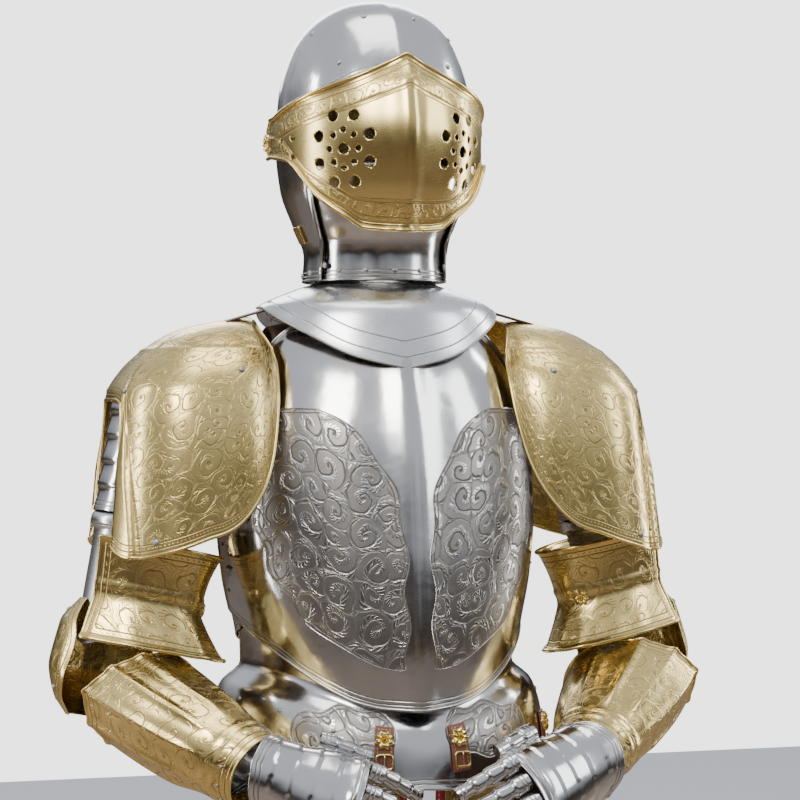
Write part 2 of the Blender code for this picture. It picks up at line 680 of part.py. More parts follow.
def forearm(side, word, tip):
    """Build the forearm, cuff and gauntlet that end at the tip."""
    elbow, wrist = np.array(ELBOW, float), np.array(WRIST, float)
    along = wrist - elbow
    shoulder = np.array(SHOULDER, float)
    plate(f"vambrace_{word}", VAMBRACE, STEEL, spread=180, columns=13, rows=6, side=side,
          frame=Frame(elbow, along, shoulder - elbow),
          top=VAMBRACE_TOP)
    plate(f"gauntlet_cuff_{word}", CUFF, BRASS, spread=180, columns=15, rows=6, side=side,
          frame=Frame(elbow, along, CUFF_FACING), lips=(2.0, 0),
          top=CUFF_TOP)
    hand = Frame(wrist, np.subtract(tip, wrist), HAND_FACING)
    plate(f"gauntlet_hand_{word}", HAND, STEEL, spread=105, columns=9, rows=5, frame=hand,
          side=side, top=HAND_TOP)
    top = hand.side * np.sign(hand.side[2])
    palm = hand.back
    for place, length, finger in FINGERS:
        base = wrist + hand.along * FINGER_START + top * place * FINGER_SPREAD - palm * 14
        table = stepped(FINGER_SCALES, 0, length / FINGER_SCALES, 1.0, 9.9, 0.8, 0.95)
        plate(f"gauntlet_{finger}_finger_{word}", table, STEEL, spread=95, columns=4,
              rows=shares(table), side=side, thickness=THIN, curl=FINGER_CURL,
              frame=Frame(base, hand.along + palm * FINGER_BEND, -palm))
    base = wrist + hand.along * 40 + top * 54 + palm * 2
    table = stepped(THUMB_SCALES, 0, THUMB_SCALE, 1.0, 10.5, 1.0, 0.95)
    plate(f"gauntlet_thumb_{word}", table, STEEL, spread=95, columns=4, rows=shares(table),
          side=side, thickness=THIN, frame=Frame(base, hand.along + palm * 0.1, top - palm * 1.2))


POLEYN = rounds((544, 57.6), (528, 70), (500, 77), (472, 70), (456, 55.9))
def leg(side, word):
    """Build the thigh, knee, shin and foot plates of one side."""
    hip = Frame(HIP)
    plate(f"cuisse_{word}", CUISSE, STEEL, spread=180, columns=13, rows=5, frame=hip, side=side,
          bottom=CUISSE_FOOT)
    plate(f"poleyn_{word}", POLEYN, BRASS, spread=100, columns=11, rows=5, frame=hip, side=side)
    plate(f"greave_{word}", GREAVE, STEEL, spread=180, columns=13, rows=7, frame=hip, side=side,
          top=GREAVE_TOP, bottom=GREAVE_FOOT)
    foot = Frame((HIP[0], HIP[1], SOLE + SEAM), (0, -1, 0), (0, 0, 1))
    plate(f"sabaton_{word}", SABATON, STEEL, spread=88, columns=9, rows=6, frame=foot, side=side,
          top=SABATON_TOP)
    slab(f"sole_{word}", BROWN, (side * HIP[0], HIP[1] - SOLE_FORWARD, SOLE / 2), SOLE_SIZE,
         bevel=1.5)


def main():
    """Build the whole suit."""
    start()
    helmet()
    neck_and_body()
    tassets()
    for side, word, tip in ((-1, "right", RIGHT_TIP), (1, "left", LEFT_TIP)):
        upper_arm(side, word)
        forearm(side, word, tip)
        leg(side, word)


main()
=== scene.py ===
"""The looks of a suit of plate armour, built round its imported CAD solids.

Every plate is worked out again as a dense, smooth shell from the same section tables
as the CAD solids. Engraving, borders and etched panels are procedural materials that
read the plates' own UV maps: "plan" holds metres round and down a plate, "rim" the
distance to its nearest edge and to its foot, and "zone" the distance into an etched
panel of steel or a plain area of brass. Sizes are in millimetres, and levels in the
tables are above the soles. Plates that a CAD node stands for replace it.
"""
import logging
import math
from dataclasses import dataclass, field
from enum import Enum
from typing import Callable, Iterable, NamedTuple, Optional, Sequence, Union

import bpy
import numpy as np
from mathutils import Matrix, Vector


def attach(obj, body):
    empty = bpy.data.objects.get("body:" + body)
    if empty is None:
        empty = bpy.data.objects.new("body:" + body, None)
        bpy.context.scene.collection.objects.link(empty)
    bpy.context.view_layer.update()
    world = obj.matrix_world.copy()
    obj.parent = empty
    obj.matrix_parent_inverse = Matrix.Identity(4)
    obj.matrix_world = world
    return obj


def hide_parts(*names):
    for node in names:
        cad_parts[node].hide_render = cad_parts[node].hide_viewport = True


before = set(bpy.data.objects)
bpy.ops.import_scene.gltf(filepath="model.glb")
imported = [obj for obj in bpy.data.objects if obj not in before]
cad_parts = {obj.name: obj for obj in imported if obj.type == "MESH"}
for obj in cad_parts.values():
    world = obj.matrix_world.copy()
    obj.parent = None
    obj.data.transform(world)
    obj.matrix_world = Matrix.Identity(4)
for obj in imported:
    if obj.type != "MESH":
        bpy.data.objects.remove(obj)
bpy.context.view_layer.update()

MM: float = 0.001
HELD_AT: float = 1440.0
PLATE: float = 1.6
THIN: float = 1.2
LEATHER: float = 2.2
SEAM: float = 0.4
LAP: float = PLATE + 2 * SEAM
Floats = np.ndarray
log = logging.getLogger("armour")


class Section(NamedTuple):
    """One level of a plate's form: half width and depths about its axis."""

    at: float
    wide: float
    front: float
    back: float
    shift: float = 0.0


class Edge(NamedTuple):
    """Where a plate's edge runs, by angle from the plate's middle."""

    angle: float
    at: float


class Metal(Enum):
    """The surface that a piece is made of."""

    STEEL = "polished_steel"
    SATIN = "satin_steel"
    BRASS = "gilt_brass"
    LEATHER = "brown_leather"
    RUSSET = "russet_leather"
    CLOTH = "red_cloth"


# Helmet.
SKULL = (
    Section(1832, 0, 0, 0), Section(1826, 38, 34, 42), Section(1808, 68, 65, 82),
    Section(1774, 92, 91, 113), Section(1724, 106, 111, 130), Section(1672, 109, 118, 133),
    Section(1622, 104, 112, 126), Section(1582, 90, 100, 110), Section(1548, 78, 88, 94),
    Section(1520, 80, 90, 92),
)
HELMET_FOOT: float = 1519.8
FACE_EDGE = (
    Edge(0, 1744), Edge(21, 1736), Edge(40, 1722), Edge(50, 1708), Edge(54, 1672),
    Edge(58, 1622), Edge(61, 1570), Edge(64, HELMET_FOOT), Edge(180, HELMET_FOOT),
)
VISOR = (
    Section(1766, 97, 113, 112), Section(1722, 114, 138, 130), Section(1674, 117, 147, 134),
    Section(1620, 112, 140, 130), Section(1570, 98, 119, 110),
)
VISOR_TOP = (Edge(0, 1755), Edge(15, 1743), Edge(32, 1731), Edge(65, 1715), Edge(100, 1697))
VISOR_FOOT = (
    Edge(0, 1570), Edge(28, 1574), Edge(40, 1586), Edge(57, 1606), Edge(81, 1648),
    Edge(100, 1655),
)
VISOR_EARS = (Edge(0, 0.84), Edge(0.4, 1.0), Edge(0.6, 1.0), Edge(1, 0.86))
PIVOT = (118.2, 25.0, 1674.0)
ROSE_ANGLE, ROSE_HEIGHT, ROSE_INNER, ROSE_OUTER = 35.0, 1655.0, 20.0, 38.0
BREATH_LARGE, BREATH_SMALL = 6.2, 3.4

# Gorget, cuirass and skirt.
GORGET = (
    Section(1538, 66, 68, 70), Section(1517, 68, 70, 72), Section(1510, 88, 84, 84),
    Section(1488, 134, 112, 104), Section(1462, 146, 121.4, 112), Section(1421, 158, 134, 120),
)
GORGET_FOOT = (
    Edge(0, 1421), Edge(20, 1434), Edge(45, 1462), Edge(70, 1483), Edge(84, 1489),
    Edge(92, 1489),
)
GORGET_BACK_FOOT = (Edge(0, 1450), Edge(45, 1468), Edge(70, 1484), Edge(84, 1489), Edge(96, 1489))
TORSO = (
    Section(1474, 112, 84, 84), Section(1448, 134, 112, 98), Section(1410, 156, 132, 110),
    Section(1340, 176, 154, 122), Section(1270, 180, 168, 124), Section(1200, 174, 178, 120),
    Section(1130, 160, 182, 110), Section(1063, 152, 178, 104),
)
BREAST_TOP = (
    Edge(0, 1446), Edge(24, 1452), Edge(46, 1471), Edge(58, 1469), Edge(70, 1445),
    Edge(78, 1385), Edge(90, 1325),
)
BREAST_FOOT = (
    Edge(0, 1063), Edge(14, 1065), Edge(24, 1071), Edge(35, 1084), Edge(46, 1100),
    Edge(58, 1119), Edge(90, 1158),
)
BACK_TOP = (Edge(0, 1470), Edge(46, 1462), Edge(60, 1436), Edge(76, 1370), Edge(96, 1318))
BACK_FOOT = (Edge(0, 1118), Edge(60, 1118), Edge(96, 1138))
YOKE = (Section(93.6, 58, 66, 0), Section(108.6, 56, 64, 0), Section(124.1, 50, 60, 0))
FAULD = (
    Section(1160, 157, 173, 103), Section(1128, 153, 173, 102), Section(1100, 152, 172, 102),
    Section(1078, 174, 188, 126), Section(1050, 184, 196, 140), Section(984, 192, 204, 150),
)
FAULD_DROP = (
    Edge(0, -40), Edge(14, -36), Edge(24, -30), Edge(35, -20), Edge(46, -10), Edge(60, -2),
    Edge(75, 0), Edge(180, 0),
)
FAULD_FOOT = (Edge(0, 1024), Edge(24, 1012), Edge(46, 996), Edge(75, 990), Edge(180, 990))
STRAP_TOP, STRAP_FOOT, STRAP_RISE, ROSETTE_HEIGHT = 1046.0, 1000.0, 0.9, 1034.0
TASSET = (
    Section(1004, 182, 194, 140), Section(960, 188, 194, 148), Section(850, 194, 176, 160),
    Section(730, 198, 156, 166),
)

# Arms.
SHOULDER, ELBOW, WRIST = (235, 0, 1420), (302, -20, 1094), (170, -212, 1005)
PAULDRON = (
    Section(1478, 0, 0, 0, 148), Section(1474, 22, 34, 34, 160), Section(1465, 44, 60, 60, 176),
    Section(1446, 68, 88, 88, 186), Section(1420, 87, 110, 104, 196),
    Section(1395, 96, 122, 110, 202), Section(1330, 100, 136, 118, 205),
    Section(1270, 104, 142, 122, 207), Section(1223, 108, 146, 124, 209),
)
PAULDRON_EDGE = (
    Edge(0, 1388), Edge(12, 1388), Edge(22, 1382), Edge(28, 1236), Edge(46, 1223),
    Edge(70, 1231), Edge(95, 1252), Edge(112, 1285), Edge(124, 1325), Edge(131, 1370),
    Edge(136, 1430),
)
WING = (
    Section(142, 63, 99, 63), Section(108, 57, 90, 58), Section(82, 54, 88, 55),
    Section(64, 57.6, 98, 58.6), Section(33, 64.6, 122, 63.6),
)
WING_FACING = (-0.88, -0.47, 0)
CUFF = (
    Section(40, 50, 82, 58, 0), Section(60, 52, 82, 60, 0), Section(95, 53, 78, 60, -1),
    Section(150, 51, 64, 56, -3), Section(192, 46, 52, 48, -3), Section(236, 40, 39, 39, -1),
)
CUFF_FACING = (0.79, -0.6, 0.14)
CUFF_TOP = (Edge(0, 52), Edge(26, 60), Edge(90, 70), Edge(180, 84))
VAMBRACE_TOP = (Edge(0, 60), Edge(90, 42), Edge(180, 24))
REREBRACE_FOOT = (Edge(0, 58), Edge(90, 42), Edge(180, 26))
COUTER_EARS = (Edge(0, 0.8), Edge(0.4, 1), Edge(1, 0.75))
HAND_TOP = (Edge(0, -20), Edge(40, -14), Edge(70, 0), Edge(105, 8))
HAND_FACING = (0.2, -0.85, 0.45)
HAND = (
    Section(-20, 47.9, 41.9, 34), Section(0, 44, 37, 32), Section(25, 43, 31, 30),
    Section(60, 46, 28, 28), Section(96, 46, 25, 25),
)
FINGERS = ((-1.5, 62, "little"), (-0.5, 74, "ring"), (0.5, 78, "middle"), (1.5, 72, "index"))
FINGER_SPREAD, FINGER_BEND, FINGER_START, FINGER_CURL = 22.5, 0.35, 95.6, 0.22
TIPS = {"right": (2, -256, 952), "left": (2, -308, 958)}

# Legs.
HIP = (100, -14, 0)
CUISSE = (
    Section(870, 84, 92, 86), Section(780, 82, 88, 82), Section(650, 68, 74, 70),
    Section(560, 56, 57, 58), Section(540, 54, 55, 57),
)
GREAVE = (
    Section(470, 53, 53, 56), Section(400, 54, 52, 66), Section(330, 51, 50, 68),
    Section(250, 45, 45, 56), Section(150, 37, 40, 44), Section(95, 39, 42, 44),
    Section(14, 41, 46, 50),
)
SABATON = (
    Section(30, 46, 84, 0), Section(66, 47, 68, 0), Section(110, 50, 50, 0),
    Section(160, 48, 38, 0), Section(196, 36, 29, 0), Section(214, 14, 18, 0),
)
SABATON_TOP = (Edge(0, 43), Edge(40, 38), Edge(88, 26))
CUISSE_FOOT = (Edge(0, 542), Edge(90, 560), Edge(180, 590))
GREAVE_TOP = (Edge(0, 466), Edge(90, 446), Edge(180, 416))
GREAVE_FOOT = (Edge(0, 84.4), Edge(45, 75), Edge(90, 56), Edge(135, 32), Edge(180, 14))
SOLE: float = 5.0


def unit(vector: Iterable[float]) -> Floats:
    """Return the vector with length one."""
    array = np.asarray(vector, dtype=float)
    return array / np.linalg.norm(array)


def soft_step(value: Floats, low: float, high: float) -> Floats:
    """Rise smoothly from 0 at low to 1 at high."""
    share = np.clip((value - low) / (high - low), 0.0, 1.0)
    return share * share * (3.0 - 2.0 * share)


def bell(value: Floats, centre: float, width: float) -> Floats:
    """Return a bell curve of height one about the centre."""
    return np.exp(-(((value - centre) / width) ** 2))


def smooth(at: Floats, knots: Sequence[float], values: Sequence[float]) -> Floats:
    """Interpolate without overshoot: cubic pieces whose slopes are harmonic means.

    Args:
        at: positions to read.
        knots: increasing positions of the table.
        values: the table's values.

    Returns:
        The smooth values, level with the table's ends outside it.
    """
    x, y = np.asarray(knots, float), np.asarray(values, float)
    gap = np.diff(x)
    rise = np.diff(y) / gap
    slope = np.zeros_like(y)
    slope[0], slope[-1] = rise[0], rise[-1]
    first, second = 2 * gap[1:] + gap[:-1], gap[1:] + 2 * gap[:-1]
    same = rise[:-1] * rise[1:] > 0
    safe = np.where(same, rise[:-1], 1.0), np.where(same, rise[1:], 1.0)
    slope[1:-1] = np.where(same, (first + second) / (first / safe[0] + second / safe[1]), 0.0)
    place = np.clip(np.searchsorted(x, at) - 1, 0, len(gap) - 1)
    t = np.clip((at - x[place]) / gap[place], 0.0, 1.0)
    width = gap[place]
    return ((1 + 2 * t) * (1 - t) ** 2 * y[place] + t * (1 - t) ** 2 * width * slope[place]
            + t * t * (3 - 2 * t) * y[place + 1] + t * t * (t - 1) * width * slope[place + 1])


def read(table: Sequence[Section], column: str, at: Floats) -> Floats:
    """Read one column of a section table; a form that closes to a point is a dome.

    Args:
        table: sections in any order.
        column: the field to read.
        at: positions.

    Returns:
        The column's values at those positions.
    """
    rows = sorted(table, key=lambda row: row.at)
    values = [getattr(row, column) for row in rows]
    knots = [row.at for row in rows]
    if column != "shift" and values[-1] == 0 and any(values):
        return np.sqrt(np.maximum(smooth(at, knots, [value ** 2 for value in values]), 0.0))
    return smooth(at, knots, values)


def along_edge(edge: Union[float, Sequence[Edge]], angle: Floats) -> Floats:
    """Read an edge table by angle, or repeat a level edge.

    Args:
        edge: an edge table, or one level.
        angle: degrees from the plate's middle.

    Returns:
        The edge's position at each angle.
    """
    if isinstance(edge, tuple):
        return smooth(np.abs(angle), [row.angle for row in edge], [row.at for row in edge])
    return np.full_like(angle, float(edge))


class Axes:
    """A limb's own axes: z runs along the limb and -y is its front."""

    def __init__(self, origin: Iterable[float] = (0, 0, 0), axis: Iterable[float] = (0, 0, 1),
                 front: Iterable[float] = (0, -1, 0)) -> None:
        """Set the axes from a point, the limb's direction and its front.

        Args:
            origin: a point on the limb.
            axis: the way z runs.
            front: the way -y faces.
        """
        self.origin = np.asarray(origin, dtype=float)
        self.along = unit(axis)
        ahead = np.asarray(front, dtype=float)
        self.back = -unit(ahead - np.dot(ahead, self.along) * self.along)
        self.side = np.cross(self.back, self.along)

    def place(self, local: Floats) -> Floats:
        """Turn the limb's own coordinates into the suit's, in millimetres."""
        return (self.origin + local[..., 0:1] * self.side + local[..., 1:2] * self.back
                + local[..., 2:3] * self.along)


def metres(points: Floats) -> Floats:
    """Turn millimetres above the soles into metres from the part's origin."""
    return (np.asarray(points, dtype=float) - (0.0, 0.0, HELD_AT)) * MM


MAPS = ("plan", "rim", "zone")
FAR = np.array([0.05, 0.05])


class Weld:
    """Gathers surfaces as faces and their UV corners, and makes one mesh of them."""

    def __init__(self) -> None:
        """Start empty."""
        self.points: list[Floats] = []
        self.faces: list[Floats] = []
        self.maps: dict[str, list[Floats]] = {name: [] for name in MAPS}
        self.count = 0

    def add(self, points: Floats, faces: Floats, maps: Optional[dict[str, Floats]] = None) -> None:
        """Add points and four-cornered faces; maps hold two values a face corner.

        Args:
            points: positions in metres.
            faces: four point numbers a face.
            maps: UV values a face corner, by map name.
        """
        self.points.append(points.reshape(-1, 3))
        self.faces.append(faces + self.count)
        self.count += len(self.points[-1])
        for name in MAPS:
            if maps and name in maps:
                self.maps[name].append(maps[name])
            else:
                self.maps[name].append(np.broadcast_to(FAR, (*faces.shape, 2)))

    def tube(self, path: Floats, radius: float, sides: int = 8, closed: bool = True,
             up: Optional[Floats] = None) -> None:
        """Add a round bar along a path.

        The ring at each point is radius (cos t, sin t) across the path's direction.

        Args:
            path: the bar's middle line, metres.
            radius: metres.
            sides: corners round the bar.
            closed: whether the path is a loop; the ends of an open one are drawn in.
            up: a direction across the path at each point, or none.
        """
        step = np.linalg.norm(np.diff(path, axis=0, append=path[:1]), axis=1)
        keep = step > radius * 0.12
        keep[-1] = keep[-1] or not closed
        path = path[keep]
        if closed:
            ahead = np.roll(path, -1, axis=0) - np.roll(path, 1, axis=0)
        else:
            ahead = np.gradient(path, axis=0)
        ahead /= np.maximum(np.linalg.norm(ahead, axis=1, keepdims=True), 1e-9)
        guide = up[keep] if up is not None else np.broadcast_to((0.13, 0.21, 0.97), path.shape)
        side = np.cross(ahead, guide)
        side /= np.maximum(np.linalg.norm(side, axis=1, keepdims=True), 1e-9)
        lift = np.cross(side, ahead)
        turn = np.linspace(0, 2 * np.pi, sides, endpoint=False)
        size = np.full(len(path), radius)
        if not closed:
            size[0] = size[-1] = radius * 0.02
        ring = (path[:, None] + size[:, None, None]
                * (side[:, None] * np.cos(turn)[:, None] + lift[:, None] * np.sin(turn)[:, None]))
        rows, columns = len(path), sides
        i, j = np.meshgrid(np.arange(rows if closed else rows - 1), np.arange(columns),
                           indexing="ij")
        a = i * columns + j
        b = i * columns + (j + 1) % columns
        up_row = (i + 1) % rows
        quads = np.stack([a, b, up_row * columns + (j + 1) % columns, up_row * columns + j], -1)
        self.add(ring, quads.reshape(-1, 4))

    def turned(self, at: Floats, facing: Floats, profile: Sequence[tuple[float, float]],
               sides: int = 12, petals: int = 0, wave: float = 0.0) -> None:
        """Add a turned stud: the profile's (radius, height) pairs swept round its axis.

        Args:
            at: the stud's foot, metres.
            facing: its axis.
            profile: pairs of radius and height in millimetres, from top to foot.
            sides: corners round.
            petals: lobes round the edge, or none.
            wave: share of the radius by which the lobes swell.
        """
        shape = Axes((0, 0, 0), facing, (0.31, 0.52, -0.8))
        turn = np.linspace(0, 2 * np.pi, sides, endpoint=False)
        radius = np.array([row[0] for row in profile])[:, None]
        height = np.array([row[1] for row in profile])[:, None]
        swell = 1 + wave * np.cos(petals * turn)[None, :]
        local = np.stack([radius * swell * np.cos(turn), radius * swell * np.sin(turn),
                          height * np.where(radius > 0, swell ** 2, 1.0)], axis=-1)
        ring = at + shape.place(local) * MM
        rows = len(profile)
        i, j = np.meshgrid(np.arange(rows - 1), np.arange(sides), indexing="ij")
        ids = np.arange(rows * sides).reshape(rows, sides)
        for row, (size, _) in enumerate(profile):
            if size == 0:
                ids[row] = ids[row, 0]
        quads = np.stack([ids[i, j], ids[i + 1, j], ids[i + 1, (j + 1) % sides],
                          ids[i, (j + 1) % sides]], axis=-1)
        self.add(ring, quads.reshape(-1, 4))

    def build(self, name: str, body: str, metal: Metal, sharp: float = 50.0) -> bpy.types.Object:
        """Make the mesh as one object that rides on a body.

        Args:
            name: the object's name.
            body: the CAD body that it moves with.
            metal: its surface.
            sharp: angle in degrees past which an edge is hard.

        Returns:
            The new object.
        """
        points = np.concatenate(self.points)
        faces = np.concatenate(self.faces)
        maps = {key: np.concatenate(value) for key, value in self.maps.items()}
        same = faces == np.roll(faces, 1, axis=1)
        whole = same.sum(axis=1) == 0
        three = same.sum(axis=1) == 1
        order = np.argsort(same[three], axis=1, kind="stable")[:, :3]
        order.sort(axis=1)
        thirds = np.take_along_axis(faces[three], order, axis=1)
        corners = np.concatenate([faces[whole].ravel(), thirds.ravel()])
        used, corners = np.unique(corners, return_inverse=True)
        total = np.concatenate([np.full(whole.sum(), 4), np.full(len(thirds), 3)])
        mesh = bpy.data.meshes.new(name)
        mesh.vertices.add(len(used))
        mesh.vertices.foreach_set("co", points[used].astype(np.float32).ravel())
        mesh.loops.add(len(corners))
        mesh.loops.foreach_set("vertex_index", corners.astype(np.int32))
        mesh.polygons.add(len(total))
        starts = np.concatenate([[0], np.cumsum(total)[:-1]])
        mesh.polygons.foreach_set("loop_start", starts.astype(np.int32))
        mesh.polygons.foreach_set("loop_total", total.astype(np.int32))
        mesh.polygons.foreach_set("use_smooth", np.ones(len(total), dtype=bool))
        mesh.update(calc_edges=True)
        for key, value in maps.items():
            layer = mesh.uv_layers.new(name=key)
            part = np.take_along_axis(value[three], order[..., None], axis=1)
            flat = np.concatenate([value[whole].reshape(-1, 2), part.reshape(-1, 2)])
            layer.data.foreach_set("uv", flat.astype(np.float32).ravel())
        mesh.validate()
        mesh.set_sharp_from_angle(angle=math.radians(sharp))
        piece = bpy.data.objects.new(name, mesh)
        bpy.context.scene.collection.objects.link(piece)
        mesh.materials.append(Wardrobe.material(metal))
        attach(piece, body)
        return piece


Relief = Callable[[Floats, Floats], Floats]
Zone = Callable[[Floats, Floats], Floats]


@dataclass
class Plate:
    """One plate of sheet metal, worked out over a section table."""

    name: str
    body: str
    table: Sequence[Section]
    metal: Metal
    spread: float = 90.0
    top: Union[float, Sequence[Edge], None] = None
    bottom: Union[float, Sequence[Edge], None] = None
    turn: float = 0.0
    axes: Axes = field(default_factory=Axes)
    side: int = 1
    thickness: float = PLATE
    lift: float = 0.0
    lips: tuple[float, float] = (0.0, 0.0)
    keel: float = 0.0
    square: float = 2.0
    narrow: Optional[Sequence[Edge]] = None
    curl: float = 0.0
    drop: Optional[Sequence[Edge]] = None
    rim: float = 0.0
    pitch: float = 5.5
    fine: float = 1.0
    relief: Optional[Relief] = None
    zone: Optional[Zone] = None

    def base(self, angle: Floats, level: Floats) -> Floats:
        """Return the plate's own form at an angle and level, in the limb's axes.

        The section is x = wide sin a, y = -depth cos a, each raised to 2 / square, with
        a bell-shaped ridge of the keel's height at the front.

        Args:
            angle: degrees from the plate's middle.
            level: position along the plate.

        Returns:
            Points in the limb's own axes.
        """
        turn = np.radians(angle + self.turn)
        sine, cosine = np.sin(turn), np.cos(turn)
        power = 2.0 / self.square
        front, back = read(self.table, "front", level), read(self.table, "back", level)
        depth = np.where(cosine > 0, front, back) * np.sign(cosine) * np.abs(cosine) ** power
        ridge = self.keel * np.exp(-((sine / 0.13) ** 2)) * (cosine > 0)
        x = read(self.table, "shift", level)
        x = x + read(self.table, "wide", level) * np.sign(sine) * np.abs(sine) ** power
        length = max(abs(self.table[-1].at - self.table[0].at), 1.0)
        y = -(depth + ridge) + self.curl * (level - self.table[0].at) ** 2 / length
        fall = along_edge(self.drop, angle + self.turn) if self.drop else 0.0
        return np.stack([x, y, level + fall], axis=-1)

    def normal(self, angle: Floats, level: Floats) -> Floats:
        """Return the outward direction of the form, in the limb's axes.

        Args:
            angle: degrees from the plate's middle.
            level: position along the plate.

        Returns:
            Unit vectors away from the limb.
        """
        low = min(row.at for row in self.table)
        high = max(row.at for row in self.table)
        level = np.clip(level, low + 0.6, high - 0.6)
        across = self.base(angle + 0.4, level) - self.base(angle - 0.4, level)
        down = self.base(angle, level + 0.5) - self.base(angle, level - 0.5)
        normal = np.cross(across, down)
        normal /= np.maximum(np.linalg.norm(normal, axis=-1, keepdims=True), 1e-9)
        here = self.base(angle, level)
        centre = read(self.table, "shift", level)
        away = (normal[..., 0] * (here[..., 0] - centre) + normal[..., 1] * here[..., 1]).mean()
        return normal * (1.0 if away >= 0 else -1.0)

    def settle(self, local: Floats) -> Floats:
        """Place points of the limb in the suit, in metres.

        Args:
            local: points in the limb's axes.

        Returns:
            Points in metres.
        """
        points = self.axes.place(local)
        points[..., 0] *= self.side
        return metres(points)

    def aim(self, normal: Floats) -> Floats:
        """Turn the limb's directions into the suit's.

        Args:
            normal: directions in the limb's axes.

        Returns:
            Directions in the suit's.
        """
        turned = self.axes.place(normal) - self.axes.origin
        turned[..., 0] *= self.side
        return turned

    def spot(self, angle: float, level: float, out: float = 0.0) -> tuple[Floats, Floats]:
        """Return one point of the plate's outer face, and the way it faces.

        Args:
            angle: degrees from the plate's middle.
            level: position along the plate.
            out: extra height in millimetres.

        Returns:
            The point in metres and its unit normal.
        """
        a, v = np.array([float(angle)]), np.array([float(level)])
        normal = self.normal(a, v)
        raised = self.lift + out + (self.relief(a, v) if self.relief else 0.0)
        point = self.base(a, v) + normal * np.reshape(raised, (-1, 1))
        return self.settle(point)[0], self.aim(normal)[0]

    def shell(self) -> tuple[Floats, Floats, dict[str, Floats], bool]:
        """Work out the outer face's points and normals, its maps, and if it is a ring.

        Returns:
            Grid points, normals, UV maps by name, and whether the plate is a ring.
        """
        ring = self.spread >= 180
        reach = max(read(self.table, key, np.array([row.at for row in self.table])).max()
                    for key in ("wide", "front"))
        columns = int(2 * math.radians(self.spread) * reach / self.pitch) + 2
        angle = np.linspace(-self.spread, self.spread, columns)[None, :]
        first = along_edge(self.top if self.top is not None else self.table[0].at, angle)
        last = along_edge(self.bottom if self.bottom is not None else self.table[-1].at, angle)
        dome = self.table[0].wide == 0 and self.top is None
        tall = float(np.abs(last - first).max()) * (1.3 if dome else 1.0)
        step = np.linspace(0, 1, int(tall / self.pitch) + 3)[:, None]
        share = step ** 2 if dome else step
        level = first + share * (last - first)
        wrap = angle * np.ones_like(level)
        if self.narrow:
            wrap = wrap * smooth(share, [row.angle for row in self.narrow],
                                 [row.at for row in self.narrow])
        normal = self.normal(wrap, level)
        base = self.base(wrap, level)
        run = np.cumsum(np.linalg.norm(np.diff(base, axis=0, prepend=base[:1]), axis=-1), axis=0)
        arc = np.cumsum(np.linalg.norm(np.diff(base, axis=1, prepend=base[:, :1]), axis=-1),
                        axis=1)
        foot = run[-1:] - run
        edge = foot if dome else np.minimum(foot, run)
        if not ring:
            edge = np.minimum(edge, np.minimum(arc, arc[:, -1:] - arc))
        raised = self.lift + self.lips[0] * np.exp(-run / 4.0) + self.lips[1] * np.exp(-foot / 4.0)
        if self.relief:
            raised = raised + self.relief(wrap, level)
        outer = base + normal * raised[..., None]
        middle = arc[:, columns // 2][:, None]
        placed = self.axes.place(outer)
        placed[..., 0] *= self.side
        depth = self.zone(placed, wrap) if self.zone else np.full_like(edge, -50.0)
        maps = {
            "plan": np.stack([arc - middle, run], axis=-1) * MM * self.fine,
            "rim": np.stack([edge, foot], axis=-1) * MM,
            "zone": np.stack([depth, depth], axis=-1) * MM,
        }
        return outer, normal, maps, ring

    def weld(self, into: Optional[Weld] = None) -> Weld:
        """Add the plate's shell and its edge walls to a weld.

        The inner face is the outer one moved back along the normals by the thickness.

        Args:
            into: a weld to add to, or none for a new one.

        Returns:
            The weld.
        """
        into = into or Weld()
        outer, normal, maps, ring = self.shell()
        inner = outer - normal * self.thickness
        rows, columns = outer.shape[:2]
        width = columns - 1 if ring else columns
        ids = np.arange(rows)[:, None] * columns + (np.arange(columns) % width)[None, :]
        pole = self.table[0].wide == 0 and self.top is None
        if pole:
            ids[0] = ids[0, 0]
        back = ids + rows * columns
        plain = np.arange(rows * columns).reshape(rows, columns)

        def strip(a: Floats, b: Floats, pa: Floats, pb: Floats) -> tuple[Floats, Floats]:
            """Join two lines of points with faces; pa and pb give their map corners.

            Args:
                a: first line of point numbers.
                b: second line.
                pa: map corners of the first line.
                pb: map corners of the second.

            Returns:
                Faces and their map corners.
            """
            quad = np.stack([a[:-1], b[:-1], b[1:], a[1:]], axis=-1)
            corner = np.stack([pa[:-1], pb[:-1], pb[1:], pa[1:]], axis=-1)
            return quad, corner

        pieces = []
        for row in range(rows - 1):
            pieces.append(strip(ids[row], ids[row + 1], plain[row], plain[row + 1]))
            pieces.append(strip(back[row + 1], back[row], plain[row + 1], plain[row]))
        if not pole:
            pieces.append(strip(back[0], ids[0], plain[0], plain[0]))
        pieces.append(strip(ids[-1], back[-1], plain[-1], plain[-1]))
        if not ring:
            pieces.append(strip(ids[:, 0], back[:, 0], plain[:, 0], plain[:, 0]))
            pieces.append(strip(back[:, -1], ids[:, -1], plain[:, -1], plain[:, -1]))
        quads = np.concatenate([piece[0] for piece in pieces])
        corner = np.concatenate([piece[1] for piece in pieces])
        points = np.concatenate([self.settle(outer).reshape(-1, 3),
                                 self.settle(inner).reshape(-1, 3)])
        i, j = rows // 2, columns // 2
        a, b = points[plain[i, j]], points[plain[i + 1, j]]
        c = points[plain[i, j + 1]]
        facing = np.dot(np.cross(b - a, c - a), self.aim(normal[i, j]))
        if facing < 0:
            quads, corner = quads[:, ::-1], corner[:, ::-1]
        flat = {key: value.reshape(-1, 2)[corner] for key, value in maps.items()}
        into.add(points, quads, flat)
        return into

